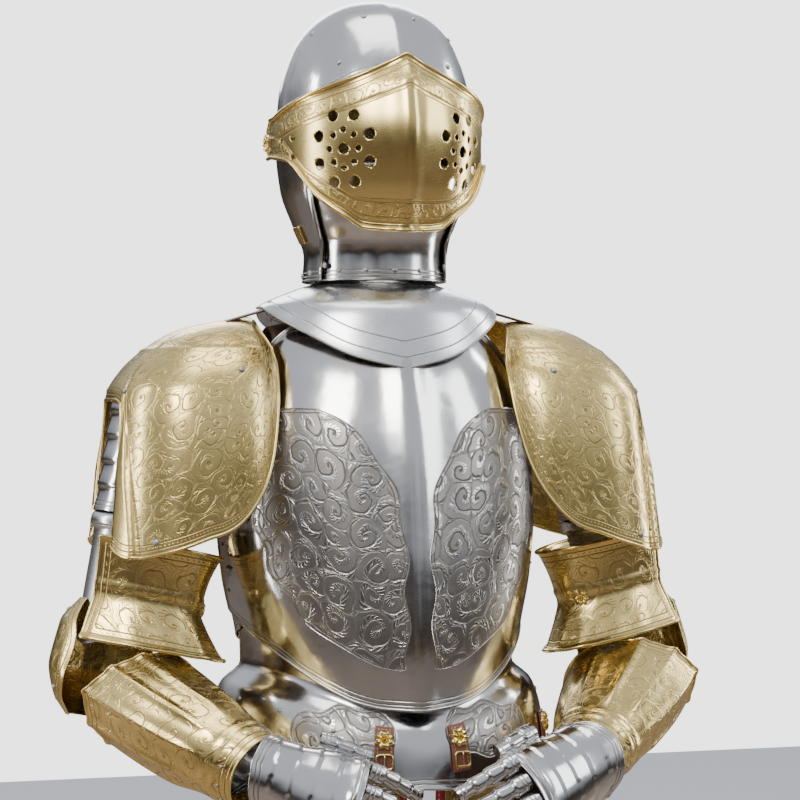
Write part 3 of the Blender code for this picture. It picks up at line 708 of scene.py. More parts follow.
    def roll(self, into: Optional[Weld] = None) -> Weld:
        """Add the rolled rim as a round bar along the plate's edges.

        Args:
            into: a weld to add to, or none for a new one.

        Returns:
            The weld.
        """
        into = into or Weld()
        outer, normal, _, ring = self.shell()
        pole = self.table[0].wide == 0 and self.top is None
        middle = self.settle(outer - normal * self.thickness * 0.4)
        facing = self.aim(normal)
        if ring:
            loops = [(middle[-1, :-1], facing[-1, :-1])]
            if not pole:
                loops.append((middle[0, :-1], facing[0, :-1]))
        else:
            start = 1 if pole else 0
            left, right = slice(start, None), slice(None, start - 1 if start else None, -1)
            top = [] if pole else [middle[0, ::-1][1:-1]]
            top_way = [] if pole else [facing[0, ::-1][1:-1]]
            path = [middle[left, 0], middle[-1, 1:-1], middle[right, -1], *top]
            way = [facing[left, 0], facing[-1, 1:-1], facing[right, -1], *top_way]
            loops = [(np.concatenate(path), np.concatenate(way))]
        for path, way in loops:
            into.tube(path, self.rim * MM, up=way)
        return into

    def build(self, rolled: bool = True) -> bpy.types.Object:
        """Make the plate's object, with its rolled rim or bare, in place of its CAD node.

        Args:
            rolled: whether the rolled rim is part of the object.

        Returns:
            The plate's object.
        """
        shell = self.weld()
        if self.rim and rolled:
            self.roll(shell)
        piece = shell.build(self.name + "_look", self.body, self.metal)
        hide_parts(self.name)
        return piece


class Term:
    """A value in a node tree that can be added, multiplied and compared."""

    def __init__(self, tree: bpy.types.NodeTree, socket: bpy.types.NodeSocket) -> None:
        """Hold a socket of the tree."""
        self.tree = tree
        self.socket = socket

    def math(self, kind: str, other: Union["Term", float, None] = None,
             third: Optional[float] = None) -> "Term":
        """Add a Math node of this kind.

        Args:
            kind: the node's operation.
            other: second value.
            third: third value.

        Returns:
            The node's result.
        """
        node = self.tree.nodes.new("ShaderNodeMath")
        node.operation = kind
        for index, value in enumerate((self, other, third)):
            if isinstance(value, Term):
                self.tree.links.new(value.socket, node.inputs[index])
            elif value is not None:
                node.inputs[index].default_value = value
        return Term(self.tree, node.outputs[0])

    def __add__(self, other: Union["Term", float]) -> "Term":
        """Add."""
        return self.math("ADD", other)

    def __sub__(self, other: Union["Term", float]) -> "Term":
        """Subtract."""
        return self.math("SUBTRACT", other)

    def __mul__(self, other: Union["Term", float]) -> "Term":
        """Multiply."""
        return self.math("MULTIPLY", other)

    def __truediv__(self, other: Union["Term", float]) -> "Term":
        """Divide."""
        return self.math("DIVIDE", other)

    def under(self, limit: Union["Term", float], soft: float) -> "Term":
        """Return 1 below the limit and 0 above it, with a soft edge.

        Args:
            limit: value to compare with.
            soft: width of the soft edge.

        Returns:
            A mask from 0 to 1.
        """
        bound = limit if isinstance(limit, Term) else None
        gap = (bound - self) if bound else (self * -1.0 + limit)
        return (gap * (1.0 / soft) + 0.5).math("MAXIMUM", 0.0).math("MINIMUM", 1.0)

    def most(self, other: "Term") -> "Term":
        """Return the larger of two."""
        return self.math("MAXIMUM", other)


class Graph:
    """Short words for building a node tree."""

    def __init__(self, tree: bpy.types.NodeTree) -> None:
        """Work on this tree."""
        self.tree = tree

    def node(self, kind: str, **settings: object) -> bpy.types.Node:
        """Add a node and set its properties.

        Args:
            kind: the node's type.
            **settings: its properties.

        Returns:
            The node.
        """
        made = self.tree.nodes.new(kind)
        for key, value in settings.items():
            setattr(made, key, value)
        return made

    def term(self, socket: bpy.types.NodeSocket) -> Term:
        """Wrap a socket."""
        return Term(self.tree, socket)

    def link(self, value: Union[Term, bpy.types.NodeSocket], socket: bpy.types.NodeSocket) -> None:
        """Join a value to an input."""
        self.tree.links.new(value.socket if isinstance(value, Term) else value, socket)

    def split(self, vector: bpy.types.NodeSocket) -> tuple[Term, Term, Term]:
        """Return a vector's three parts.

        Args:
            vector: the vector's socket.

        Returns:
            Its x, y and z.
        """
        node = self.node("ShaderNodeSeparateXYZ")
        self.link(vector, node.inputs[0])
        return tuple(self.term(node.outputs[index]) for index in range(3))

    def noise(self, vector: Optional[bpy.types.NodeSocket], scale: float, detail: float = 3.0,
              distortion: float = 0.0) -> Term:
        """Add a noise texture.

        Args:
            vector: coordinates, or none.
            scale: the noise's scale.
            detail: its octaves.
            distortion: its warp.

        Returns:
            Noise from 0 to 1.
        """
        node = self.node("ShaderNodeTexNoise")
        node.inputs["Scale"].default_value = scale
        node.inputs["Detail"].default_value = detail
        node.inputs["Distortion"].default_value = distortion
        if vector is not None:
            self.link(vector, node.inputs["Vector"])
        return self.term(node.outputs[0])

    def blend(self, share: Union[Term, float], first: object, second: object) -> Term:
        """Mix two colours.

        Args:
            share: share of the second.
            first: a colour or socket.
            second: a colour or socket.

        Returns:
            The mixed colour.
        """
        node = self.node("ShaderNodeMix", data_type="RGBA")
        for value, socket in ((share, node.inputs[0]), (first, node.inputs[6]),
                              (second, node.inputs[7])):
            if isinstance(value, Term):
                self.link(value, socket)
            elif isinstance(value, float):
                socket.default_value = value
            else:
                socket.default_value = (*value, 1.0)
        return self.term(node.outputs[2])


def new_group(name: str, inputs: Sequence[tuple[str, str, float]],
              outputs: Sequence[str]) -> tuple[Graph, bpy.types.Node, bpy.types.Node]:
    """Make a shader node group.

    Args:
        name: the group's name.
        inputs: name, socket type and start value of each input.
        outputs: names of its value outputs.

    Returns:
        Its graph, group input node and group output node.
    """
    tree = bpy.data.node_groups.new(name, "ShaderNodeTree")
    for label, kind, value in inputs:
        socket = tree.interface.new_socket(label, in_out="INPUT", socket_type=kind)
        if kind == "NodeSocketFloat":
            socket.default_value = value
    for label in outputs:
        tree.interface.new_socket(label, in_out="OUTPUT", socket_type="NodeSocketFloat")
    graph = Graph(tree)
    return graph, graph.node("NodeGroupInput"), graph.node("NodeGroupOutput")


def scroll_group() -> bpy.types.NodeTree:
    """Make the foliate scrollwork, which puts out masks of its cut lines and leaves.

    Every scroll grows from a scattered centre. Its stem is a spiral, where turn plus 2.3
    radii is a whole number, and short curved fronds leave one side of the stem. Half of
    the scrolls turn the other way, and a vine follows the line midway between centres.

    Returns:
        The node group.
    """
    graph, given, out = new_group(
        "scrollwork",
        [("Plan", "NodeSocketVector", 0), ("Cell", "NodeSocketFloat", 0.045),
         ("Line", "NodeSocketFloat", 0.05)],
        ["Lines", "Leaves"])
    x, y, _ = graph.split(given.outputs["Plan"])
    cell, line = graph.term(given.outputs["Cell"]), graph.term(given.outputs["Line"])
    wander = (graph.noise(given.outputs["Plan"], 30.0, 2.0) - 0.5) * 0.6
    x, y = x / cell + 40.0 + wander, y / cell + 40.0 - wander
    join = graph.node("ShaderNodeCombineXYZ")
    graph.link(x, join.inputs[0])
    graph.link(y, join.inputs[1])
    nearest, border = (graph.node("ShaderNodeTexVoronoi", voronoi_dimensions="2D", feature=kind)
                       for kind in ("F1", "DISTANCE_TO_EDGE"))
    for node in (nearest, border):
        node.inputs["Scale"].default_value = 1.0
        node.inputs["Randomness"].default_value = 0.75
        graph.link(join.outputs[0], node.inputs["Vector"])
    middle_x, middle_y, _ = graph.split(nearest.outputs["Position"])
    chance, start, _ = graph.split(nearest.outputs["Color"])
    flip = chance.math("GREATER_THAN", 0.5) * 2.0 - 1.0
    across, down = (x - middle_x) * flip, y - middle_y
    radius = (across * across + down * down).math("SQRT")
    turn = down.math("ARCTAN2", across) * (0.5 / math.pi) + start + 3.0
    arm = (turn + radius * 2.3).math("FRACT") - 0.5
    gap = graph.term(border.outputs["Distance"])
    inner = (gap * -1.0).under(-0.035, 0.03)
    stem = arm.math("ABSOLUTE").under(line * 1.7, 0.07) * inner
    frond = ((turn * 11.0 - radius * 9.0).math("FRACT") - 0.5).math("ABSOLUTE")
    side = (arm * -1.0).under(-0.04, 0.05) * arm.under(0.4, 0.08)
    leaf = frond.under(line * 2.6, 0.14) * side * inner
    vine = (gap - 0.012).math("ABSOLUTE").under(line * 0.35, 0.02)
    core = radius.under(0.06, 0.03)
    graph.link(stem.most(leaf * 0.75).most(vine * 0.35).most(core), out.inputs["Lines"])
    graph.link(side * inner, out.inputs["Leaves"])
    return graph.tree


def border_group() -> bpy.types.NodeTree:
    """Make the two cut lines and the beading that follow a plate's edge.

    Returns:
        The node group.
    """
    graph, given, out = new_group(
        "border lines",
        [("Edge", "NodeSocketFloat", 1.0), ("Along", "NodeSocketFloat", 0.0),
         ("First", "NodeSocketFloat", 0.006), ("Second", "NodeSocketFloat", 0.0125),
         ("Width", "NodeSocketFloat", 0.0007), ("Pearls", "NodeSocketFloat", 0.5)],
        ["Lines", "Inside"])
    edge = graph.term(given.outputs["Edge"])
    first, second = graph.term(given.outputs["First"]), graph.term(given.outputs["Second"])
    width = graph.term(given.outputs["Width"])
    lines = (edge - first).math("ABSOLUTE").under(width, 0.0005).most(
        (edge - second).math("ABSOLUTE").under(width, 0.0005))
    middle = (first + second) * 0.5
    bead = (graph.term(given.outputs["Along"]) * 950.0).math("COSINE") * 0.0011
    pearl = (edge - middle).math("ABSOLUTE").under(bead, 0.0004)
    pearl = pearl * graph.term(given.outputs["Pearls"])
    graph.link(lines.most(pearl), out.inputs["Lines"])
    graph.link((edge * -1.0).under(second * -1.0, 0.0006), out.inputs["Inside"])
    return graph.tree


def wear_group() -> bpy.types.NodeTree:
    """Make hand-polish marks: slow smears, fine scratches and small dents.

    Returns:
        The node group.
    """
    graph, given, out = new_group(
        "wear", [("Place", "NodeSocketVector", 0)], ["Smear", "Scratch", "Dent"])
    place = given.outputs["Place"]
    graph.link(graph.noise(place, 9.0, 5.0, 1.2), out.inputs["Smear"])
    stretch = graph.node("ShaderNodeMapping")
    stretch.inputs["Scale"].default_value = (60.0, 60.0, 900.0)
    graph.link(place, stretch.inputs["Vector"])
    graph.link(graph.noise(stretch.outputs[0], 1.6, 4.0, 0.4), out.inputs["Scratch"])
    graph.link(graph.noise(place, 26.0, 2.0, 0.3), out.inputs["Dent"])
    return graph.tree


@dataclass(frozen=True)
class MetalFinish:
    """A metal with cut ornament."""

    colour: tuple[float, float, float]
    shade: tuple[float, float, float]
    cut: tuple[float, float, float]
    roughness: float
    scroll: float = 0.0
    cell: float = 0.045
    first: float = 0.006
    second: float = 0.0125
    panel: float = 0.0
    pearls: float = 0.5
    contrast: float = 0.85
    line: float = 0.05
    depth: float = 0.0003
    dents: float = 0.0005

    def paint(self, name: str) -> bpy.types.Material:
        """Make the material.

        Args:
            name: the material's name.

        Returns:
            Metal whose cut lines are darker, rougher and lower than its face.
        """
        material = bpy.data.materials.new(name)
        material.use_nodes = True
        graph = Graph(material.node_tree)
        shader = material.node_tree.nodes["Principled BSDF"]
        shader.inputs["Metallic"].default_value = 1.0
        plan = graph.node("ShaderNodeUVMap", uv_map="plan").outputs[0]
        rim = graph.node("ShaderNodeUVMap", uv_map="rim").outputs[0]
        zone = graph.node("ShaderNodeUVMap", uv_map="zone").outputs[0]
        place = graph.node("ShaderNodeTexCoord").outputs["Object"]
        edge = graph.split(rim)[0]
        deep = graph.split(zone)[0]
        u, v, _ = graph.split(plan)
        border = self.use(graph, "border lines")
        graph.link(edge, border.inputs["Edge"])
        graph.link(u + v, border.inputs["Along"])
        border.inputs["First"].default_value = self.first
        border.inputs["Second"].default_value = self.second
        border.inputs["Pearls"].default_value = self.pearls
        scroll = self.use(graph, "scrollwork")
        graph.link(plan, scroll.inputs["Plan"])
        scroll.inputs["Cell"].default_value = self.cell
        scroll.inputs["Line"].default_value = self.line
        lines = graph.term(border.outputs["Lines"])
        inside = graph.term(border.outputs["Inside"])
        inlay = (deep * -1.0).under(0.0, 0.0006)
        outline = deep.math("ABSOLUTE").under(0.0008, 0.0006).most(
            (deep - 0.004).math("ABSOLUTE").under(0.0005, 0.0005))
        bare = inlay * -1.0 + 1.0
        cut = lines.most(graph.term(scroll.outputs["Lines"]) * inside * bare * self.scroll)
        etched = graph.term(scroll.outputs["Lines"]) * inlay * self.panel
        cut = cut.most(etched).most(outline * max(self.panel, self.scroll))
        ground = inlay * (graph.term(scroll.outputs["Leaves"]) * -0.75 + 1.0) * self.panel
        wear = self.use(graph, "wear")
        graph.link(place, wear.inputs["Place"])
        smear, scratch = graph.term(wear.outputs["Smear"]), graph.term(wear.outputs["Scratch"])
        grain = graph.noise(place, 900.0, 2.0)
        tone = graph.blend(smear, self.shade, self.colour)
        tone = graph.blend(ground * 0.7, tone, self.cut)
        tone = graph.blend(cut * self.contrast, tone, self.cut)
        graph.link(tone, shader.inputs["Base Color"])
        rough = (smear - 0.5) * 0.22 + self.roughness + (scratch - 0.5) * 0.08
        rough = rough + cut * 0.22 + ground * 0.2
        graph.link(rough, shader.inputs["Roughness"])
        dent = graph.term(wear.outputs["Dent"])
        height = cut * -self.depth + ground * -0.0002 + dent * self.dents
        height = height + scratch * 0.000012 + grain * ground * 0.00008
        bump = graph.node("ShaderNodeBump")
        bump.inputs["Strength"].default_value = 1.0
        bump.inputs["Distance"].default_value = 1.0
        graph.link(height, bump.inputs["Height"])
        graph.link(bump.outputs[0], shader.inputs["Normal"])
        return material

    @staticmethod
    def use(graph: Graph, name: str) -> bpy.types.Node:
        """Add one of the shared node groups."""
        return graph.node("ShaderNodeGroup", node_tree=bpy.data.node_groups[name])


@dataclass(frozen=True)
class SoftFinish:
    """Leather or cloth: grain and an edge row of stitches."""

    colour: tuple[float, float, float]
    dark: tuple[float, float, float]
    thread: tuple[float, float, float]
    roughness: float
    grain: float
    depth: float
    weave: bool = False

    def paint(self, name: str) -> bpy.types.Material:
        """Make the material.

        Args:
            name: the material's name.

        Returns:
            A grained surface with a dashed line of stitches near the edge.
        """
        material = bpy.data.materials.new(name)
        material.use_nodes = True
        graph = Graph(material.node_tree)
        shader = material.node_tree.nodes["Principled BSDF"]
        plan = graph.node("ShaderNodeUVMap", uv_map="plan").outputs[0]
        rim = graph.node("ShaderNodeUVMap", uv_map="rim").outputs[0]
        place = graph.node("ShaderNodeTexCoord").outputs["Object"]
        u, v, _ = graph.split(plan)
        edge = graph.split(rim)[0]
        patch = graph.noise(place, 40.0, 4.0)
        if self.weave:
            grain = (u * 2600.0).math("SINE") * (v * 2600.0).math("SINE") * 0.5 + 0.5
        else:
            cells = graph.node("ShaderNodeTexVoronoi")
            cells.inputs["Scale"].default_value = self.grain
            graph.link(place, cells.inputs["Vector"])
            grain = graph.term(cells.outputs[0])
        row = (edge - 0.0032).math("ABSOLUTE").under(0.0005, 0.0003)
        stitch = row * ((u + v) * 1500.0).math("SINE").math("GREATER_THAN", -0.2)
        tone = graph.blend(patch, self.dark, self.colour)
        tone = graph.blend(stitch, tone, self.thread)
        graph.link(tone, shader.inputs["Base Color"])
        graph.link((patch - 0.5) * 0.2 + self.roughness, shader.inputs["Roughness"])
        bump = graph.node("ShaderNodeBump")
        bump.inputs["Strength"].default_value = 1.0
        bump.inputs["Distance"].default_value = 1.0
        graph.link(grain * self.depth + stitch * 0.0004, bump.inputs["Height"])
        graph.link(bump.outputs[0], shader.inputs["Normal"])
        return material


class Wardrobe:
    """Holds the suit's materials, each made once."""

    finishes = {
        Metal.STEEL: MetalFinish((0.70, 0.69, 0.68), (0.56, 0.55, 0.54), (0.15, 0.13, 0.11),
                                 0.17, cell=0.034, panel=1.0, first=0.005, second=0.0095,
                                 pearls=0.0, contrast=0.7, line=0.04),
        Metal.SATIN: MetalFinish((0.78, 0.78, 0.78), (0.68, 0.68, 0.68), (0.24, 0.23, 0.22),
                                 0.27, cell=0.03, first=0.012, second=0.030, panel=1.0,
                                 pearls=0.0),
        Metal.BRASS: MetalFinish((0.84, 0.66, 0.28), (0.72, 0.53, 0.18), (0.20, 0.11, 0.02),
                                 0.24, scroll=0.85, cell=0.030, contrast=0.75, line=0.03,
                                 depth=0.0002, dents=0.00025),
        Metal.LEATHER: SoftFinish((0.085, 0.04, 0.028), (0.04, 0.018, 0.012), (0.25, 0.17, 0.1),
                                  0.5, 900.0, 0.0002),
        Metal.RUSSET: SoftFinish((0.21, 0.07, 0.04), (0.12, 0.035, 0.02), (0.4, 0.28, 0.16),
                                 0.45, 900.0, 0.0002),
        Metal.CLOTH: SoftFinish((0.33, 0.02, 0.03), (0.21, 0.012, 0.02), (0.55, 0.4, 0.15),
                                0.85, 900.0, 0.00025, weave=True),
    }

    @classmethod
    def material(cls, metal: Metal) -> bpy.types.Material:
        """Return a surface's material.

        Args:
            metal: the surface.

        Returns:
            Its material.
        """
        if "wear" not in bpy.data.node_groups:
            scroll_group()
            border_group()
            wear_group()
        name = "look_" + metal.value
        if name not in bpy.data.materials:
            cls.finishes[metal].paint(name)
        return bpy.data.materials[name]


RIVET = ((0.0, 1.5), (1.3, 1.3), (2.2, 0.8), (2.6, 0.0), (2.6, -0.6), (0.0, -0.6))
ROSETTE = ((0.0, 4.6), (1.6, 4.2), (2.6, 3.0), (3.2, 2.2), (4.6, 3.4), (6.6, 3.6), (8.6, 2.2),
           (9.4, 0.4), (9.4, -0.8), (0.0, -0.8))
PETALS: int = 8


def rivets(into: Weld, plate: Plate, spots: Iterable[tuple[float, float]],
           size: float = 1.0) -> None:
    """Set rivets on a plate at pairs of angle and level.

    Args:
        into: the weld that gathers the surface.
        plate: the plate that they sit on.
        spots: pairs of angle and level.
        size: scale of the rivet.
    """
    profile = [(radius * size, height * size) for radius, height in RIVET]
    for angle, level in spots:
        at, facing = plate.spot(angle, level)
        into.turned(at, facing, profile)


def rosette(into: Weld, at: Floats, facing: Floats, size: float = 1.0) -> None:
    """Add a petalled rosette."""
    profile = [(radius * size, height * size) for radius, height in ROSETTE]
    into.turned(at, facing, profile, sides=48, petals=PETALS, wave=0.11)


@dataclass
class Helmet:
    """The close helmet: skull, visor with breath holes, bevor, pivots and hook."""

    holes: int = 8
    side_angle: float = 72.0
    side_rise: float = 6.0
    side_ring: float = 14.0
    brow_band: float = 30.0
    brow_height: float = 1.2
    chin_band: float = 25.0
    chin_height: float = 0.9
    band_edge: float = 2.0
    drill: float = 9.0
    pivot_bore: float = 5.0
    throat_band: float = 1552.0
    throat_bead: float = 1556.0
    skull_rim: float = 1.2
    visor_rim: float = 2.4
    bevor_rim: float = 1.4
    bevor_inset: float = 2.6
    hook_thickness: float = 3.0
    rivet_spots: tuple[tuple[float, float], ...] = (
        (62, 1700), (60, 1535), (80, 1528), (102, 1526), (124, 1526), (148, 1526),
        (172, 1526), (38, 1752), (24, 1806), (70, 1790))
    chin_rivets: tuple[float, ...] = (-48, -24, 0, 24, 48)
    chin_rivet_level: float = 1529

    def visor_plate(self) -> Plate:
        """Return the visor, with a raised brow band and a soft chin band.

        Returns:
            The visor.
        """

        def relief(angle: Floats, level: Floats) -> Floats:
            """Raise a brow band along the top edge and a band above the chin.

            Args:
                angle: degrees from the plate's middle.
                level: position along the plate.

            Returns:
                How far the face is raised, in millimetres.
            """
            top = along_edge(VISOR_TOP, angle)
            foot = along_edge(VISOR_FOOT, angle)
            brow = soft_step(top - level, self.brow_band, self.brow_band + self.band_edge)
            chin = soft_step(level - foot, self.chin_band, self.chin_band + self.band_edge)
            return self.brow_height * (1 - brow) + self.chin_height * (1 - chin)

        return Plate("visor", "visor", VISOR, Metal.BRASS, spread=108, keel=9, top=VISOR_TOP,
                     bottom=VISOR_FOOT, lips=(2.2, 4.0), narrow=VISOR_EARS, rim=self.visor_rim,
                     pitch=3.2, relief=relief, zone=visor_zone, fine=1.7)

    def breaths(self) -> list[tuple[float, float, float]]:
        """Return the angle, level and radius of every breath hole.

        Returns:
            Angle, level and radius of each hole.
        """
        found = []
        depth = float(read(VISOR, "front", np.array([ROSE_HEIGHT]))[0])
        width = float(read(VISOR, "wide", np.array([ROSE_HEIGHT]))[0])
        for sign in (-1, 1):
            found.append((sign * ROSE_ANGLE, ROSE_HEIGHT, BREATH_LARGE))
            for step in range(self.holes):
                for size, radius, phase in ((ROSE_INNER, BREATH_SMALL, 0.0),
                                            (ROSE_OUTER, BREATH_LARGE, 0.5)):
                    turn = 2 * math.pi * (step + phase) / self.holes
                    across = math.degrees(size * math.cos(turn) / depth)
                    found.append((sign * ROSE_ANGLE + across,
                                  ROSE_HEIGHT + size * math.sin(turn), radius))
            for step in range(4):
                turn = math.pi * (step / 2 + 0.25)
                across = math.degrees(self.side_ring * math.cos(turn) / width)
                level = ROSE_HEIGHT + self.side_rise + self.side_ring * math.sin(turn)
                found.append((sign * self.side_angle + across, level, BREATH_SMALL))
        return found

    def cut(self, visor: bpy.types.Object, plate: Plate) -> None:
        """Cut the breath holes and pivot holes through the visor.

        Args:
            visor: the visor's object.
            plate: the plate that it was made from.
        """
        drills = Weld()
        for angle, level, radius in self.breaths():
            at, facing = plate.spot(angle, level)
            ends = ((0, self.drill), (radius, self.drill), (radius, -self.drill),
                    (0, -self.drill))
            drills.turned(at, facing, ends, sides=16)
        for side in (-1, 1):
            at = metres(np.array([side * PIVOT[0], PIVOT[1], PIVOT[2]]))
            ends = ((0, self.drill), (self.pivot_bore, self.drill), (self.pivot_bore, -12),
                    (0, -12))
            drills.turned(at, np.array([side, 0.0, 0.0]), ends, sides=16)
        cutter = drills.build("breath_cutter", "visor", Metal.BRASS)
        tool = visor.modifiers.new("breath_holes", "BOOLEAN")
        tool.operation, tool.solver, tool.object = "DIFFERENCE", "EXACT", cutter
        graph = bpy.context.evaluated_depsgraph_get()
        visor.data = bpy.data.meshes.new_from_object(visor.evaluated_get(graph))
        visor.modifiers.clear()
        log.info("visor has %d faces after its holes were cut", len(visor.data.polygons))
        bpy.data.objects.remove(cutter)

    def build(self) -> None:
        """Make the helmet."""
        skull = Plate("helmet_skull", "cuirass", SKULL, Metal.STEEL, spread=180, keel=2,
                      bottom=FACE_EDGE, pitch=4.9, rim=self.skull_rim)
        skull.build()
        plate = self.visor_plate()
        self.cut(plate.build(rolled=False), plate)
        plate.roll().build("visor_rim", "visor", Metal.BRASS)

        def band(angle: Floats, level: Floats) -> Floats:
            """Raise a band across the throat with a bead along its top."""
            band = 1 - soft_step(level, self.throat_band, self.throat_band + 1.5)
            return 0.8 * band + 0.9 * bell(level, self.throat_bead, 1.6)

        bevor = Plate("bevor", "cuirass", SKULL, Metal.STEEL, spread=70, top=1640,
                      bottom=HELMET_FOOT, lift=-LAP - self.bevor_inset, rim=self.bevor_rim,
                      pitch=3.7, relief=band)
        bevor.build()
        hook = Plate("bevor_hook", "cuirass", SKULL, Metal.BRASS, spread=6, turn=-88, top=1579,
                     bottom=1562, thickness=self.hook_thickness,
                     lift=self.hook_thickness + SEAM, pitch=2.4, rim=0.8)
        hook.build()
        studs = Weld()
        spots = [(sign * angle, level) for sign in (-1, 1)
                 for angle, level in self.rivet_spots]
        rivets(studs, skull, spots, 1.3)
        rivets(studs, bevor, [(angle, self.chin_rivet_level) for angle in self.chin_rivets],
               1.2)
        studs.build("helmet_rivets", "cuirass", Metal.SATIN)
        for side, word in ((-1, "right"), (1, "left")):
            flower = Weld()
            at = metres(np.array([side * (PIVOT[0] - 2.0), PIVOT[1], PIVOT[2]]))
            facing = np.array([side, 0.0, 0.0])
            rosette(flower, at, facing, 1.05)
            flower.turned(at, facing, ((0, 0), (4, 0), (4, -8.6), (0, -8.6)))
            piece = flower.build(f"visor_pivot_{word}_look", "cuirass", Metal.BRASS)
            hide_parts(f"visor_pivot_{word}")


def breast_zone(points: Floats, angle: Floats) -> Floats:
    """Return the depth in millimetres into the breastplate's two etched panels.

    Each panel is leaf-shaped: its inner side is a quarter of an ellipse that leaves the
    ridge for the armhole, its outer side a larger ellipse, and both are gently lobed.

    Args:
        points: points of the suit, in millimetres.
        angle: not used.

    Returns:
        The depth in millimetres, below zero outside.
    """
    x, z = np.abs(points[..., 0]), points[..., 2]
    rise = np.clip((z - 1236.0) / 150.0, 0.0, 0.999)
    inner = 15.0 + 118.0 * (1.0 - np.sqrt(1.0 - rise ** 2)) + 3.0 * np.cos(z * 0.09)
    fall = np.clip((1285.0 - z) / 182.0, 0.0, 1.0)
    outer = 156.0 * np.sqrt(1.0 - fall ** 2) + 3.0 * np.cos(z * 0.12)
    slant = 0.72 + 0.28 * (1.0 - rise)
    return np.minimum((x - inner) * slant, np.minimum((outer - x) * 0.8, 1378.0 - z))


def visor_zone(points: Floats, angle: Floats) -> Floats:
    """Return the depth into the visor's plain middle, between its two engraved bands.

    Args:
        points: points of the suit, in millimetres.
        angle: degrees from the plate's middle.

    Returns:
        The depth in millimetres, below zero outside.
    """
    top, foot = along_edge(VISOR_TOP, angle), along_edge(VISOR_FOOT, angle)
    return np.minimum(top - 31.0 - points[..., 2], points[..., 2] - foot - 26.0)


def wedge_zone(points: Floats, angle: Floats) -> Floats:
    """Return the depth into a pauldron's plain wedge, from each point's turn.

    Args:
        points: points of the suit, in millimetres.
        angle: degrees from the plate's middle.

    Returns:
        The depth in millimetres, below zero outside.
    """
    share = np.clip((1392.0 - points[..., 2]) / 165.0, 0.0, 1.0)
    away = np.abs(angle)
    return np.minimum(away - 24.0 - 4.0 * share, 28.0 + 20.0 * share - away) * 1.9 * (
        share > 0.02) - 3.0 * (share <= 0.02)


def skirt_zone(points: Floats, angle: Floats) -> Floats:
    """Return the depth into the skirt's etched areas beside the middle.

    Args:
        points: points of the suit, in millimetres.
        angle: not used.

    Returns:
        The depth in millimetres, below zero outside.
    """
    x, z = np.abs(points[..., 0]), points[..., 2]
    oval = (1.0 - np.sqrt(((x - 78.0) / 52.0) ** 2 + ((z - 1040.0) / 26.0) ** 2)) * 26.0
    return oval + 2.5 * np.cos(x * 0.16)


def buckle(into: Weld, plate: Plate, angle: float, level: float, wide: float = 17.0,
           tall: float = 15.0) -> None:
    """Add a square buckle with its prong over a strap.

    Args:
        into: the weld that gathers the surface.
        plate: the strap.
        angle: degrees from the plate's middle.
        level: position along the plate.
        wide: width in millimetres.
        tall: height in millimetres.
    """
    at, facing = plate.spot(angle, level, 2.2)
    up = unit(np.array([0.0, 0.0, 1.0]) - facing * facing[2])
    side = np.cross(up, facing)
    turn = np.linspace(0, 2 * np.pi, 33)[:-1]
    across = np.sign(np.cos(turn)) * np.abs(np.cos(turn)) ** 0.4 * wide / 2 * MM
    rise = np.sign(np.sin(turn)) * np.abs(np.sin(turn)) ** 0.4 * tall / 2 * MM
    path = at + across[:, None] * side + rise[:, None] * up
    into.tube(path, 1.3 * MM, up=np.broadcast_to(facing, path.shape))
    prong = at + np.linspace(-0.5, 0.5, 9)[:, None] * up * tall * MM + facing * 1.2 * MM
    into.tube(prong, 0.9 * MM, closed=False, up=np.broadcast_to(facing, prong.shape))


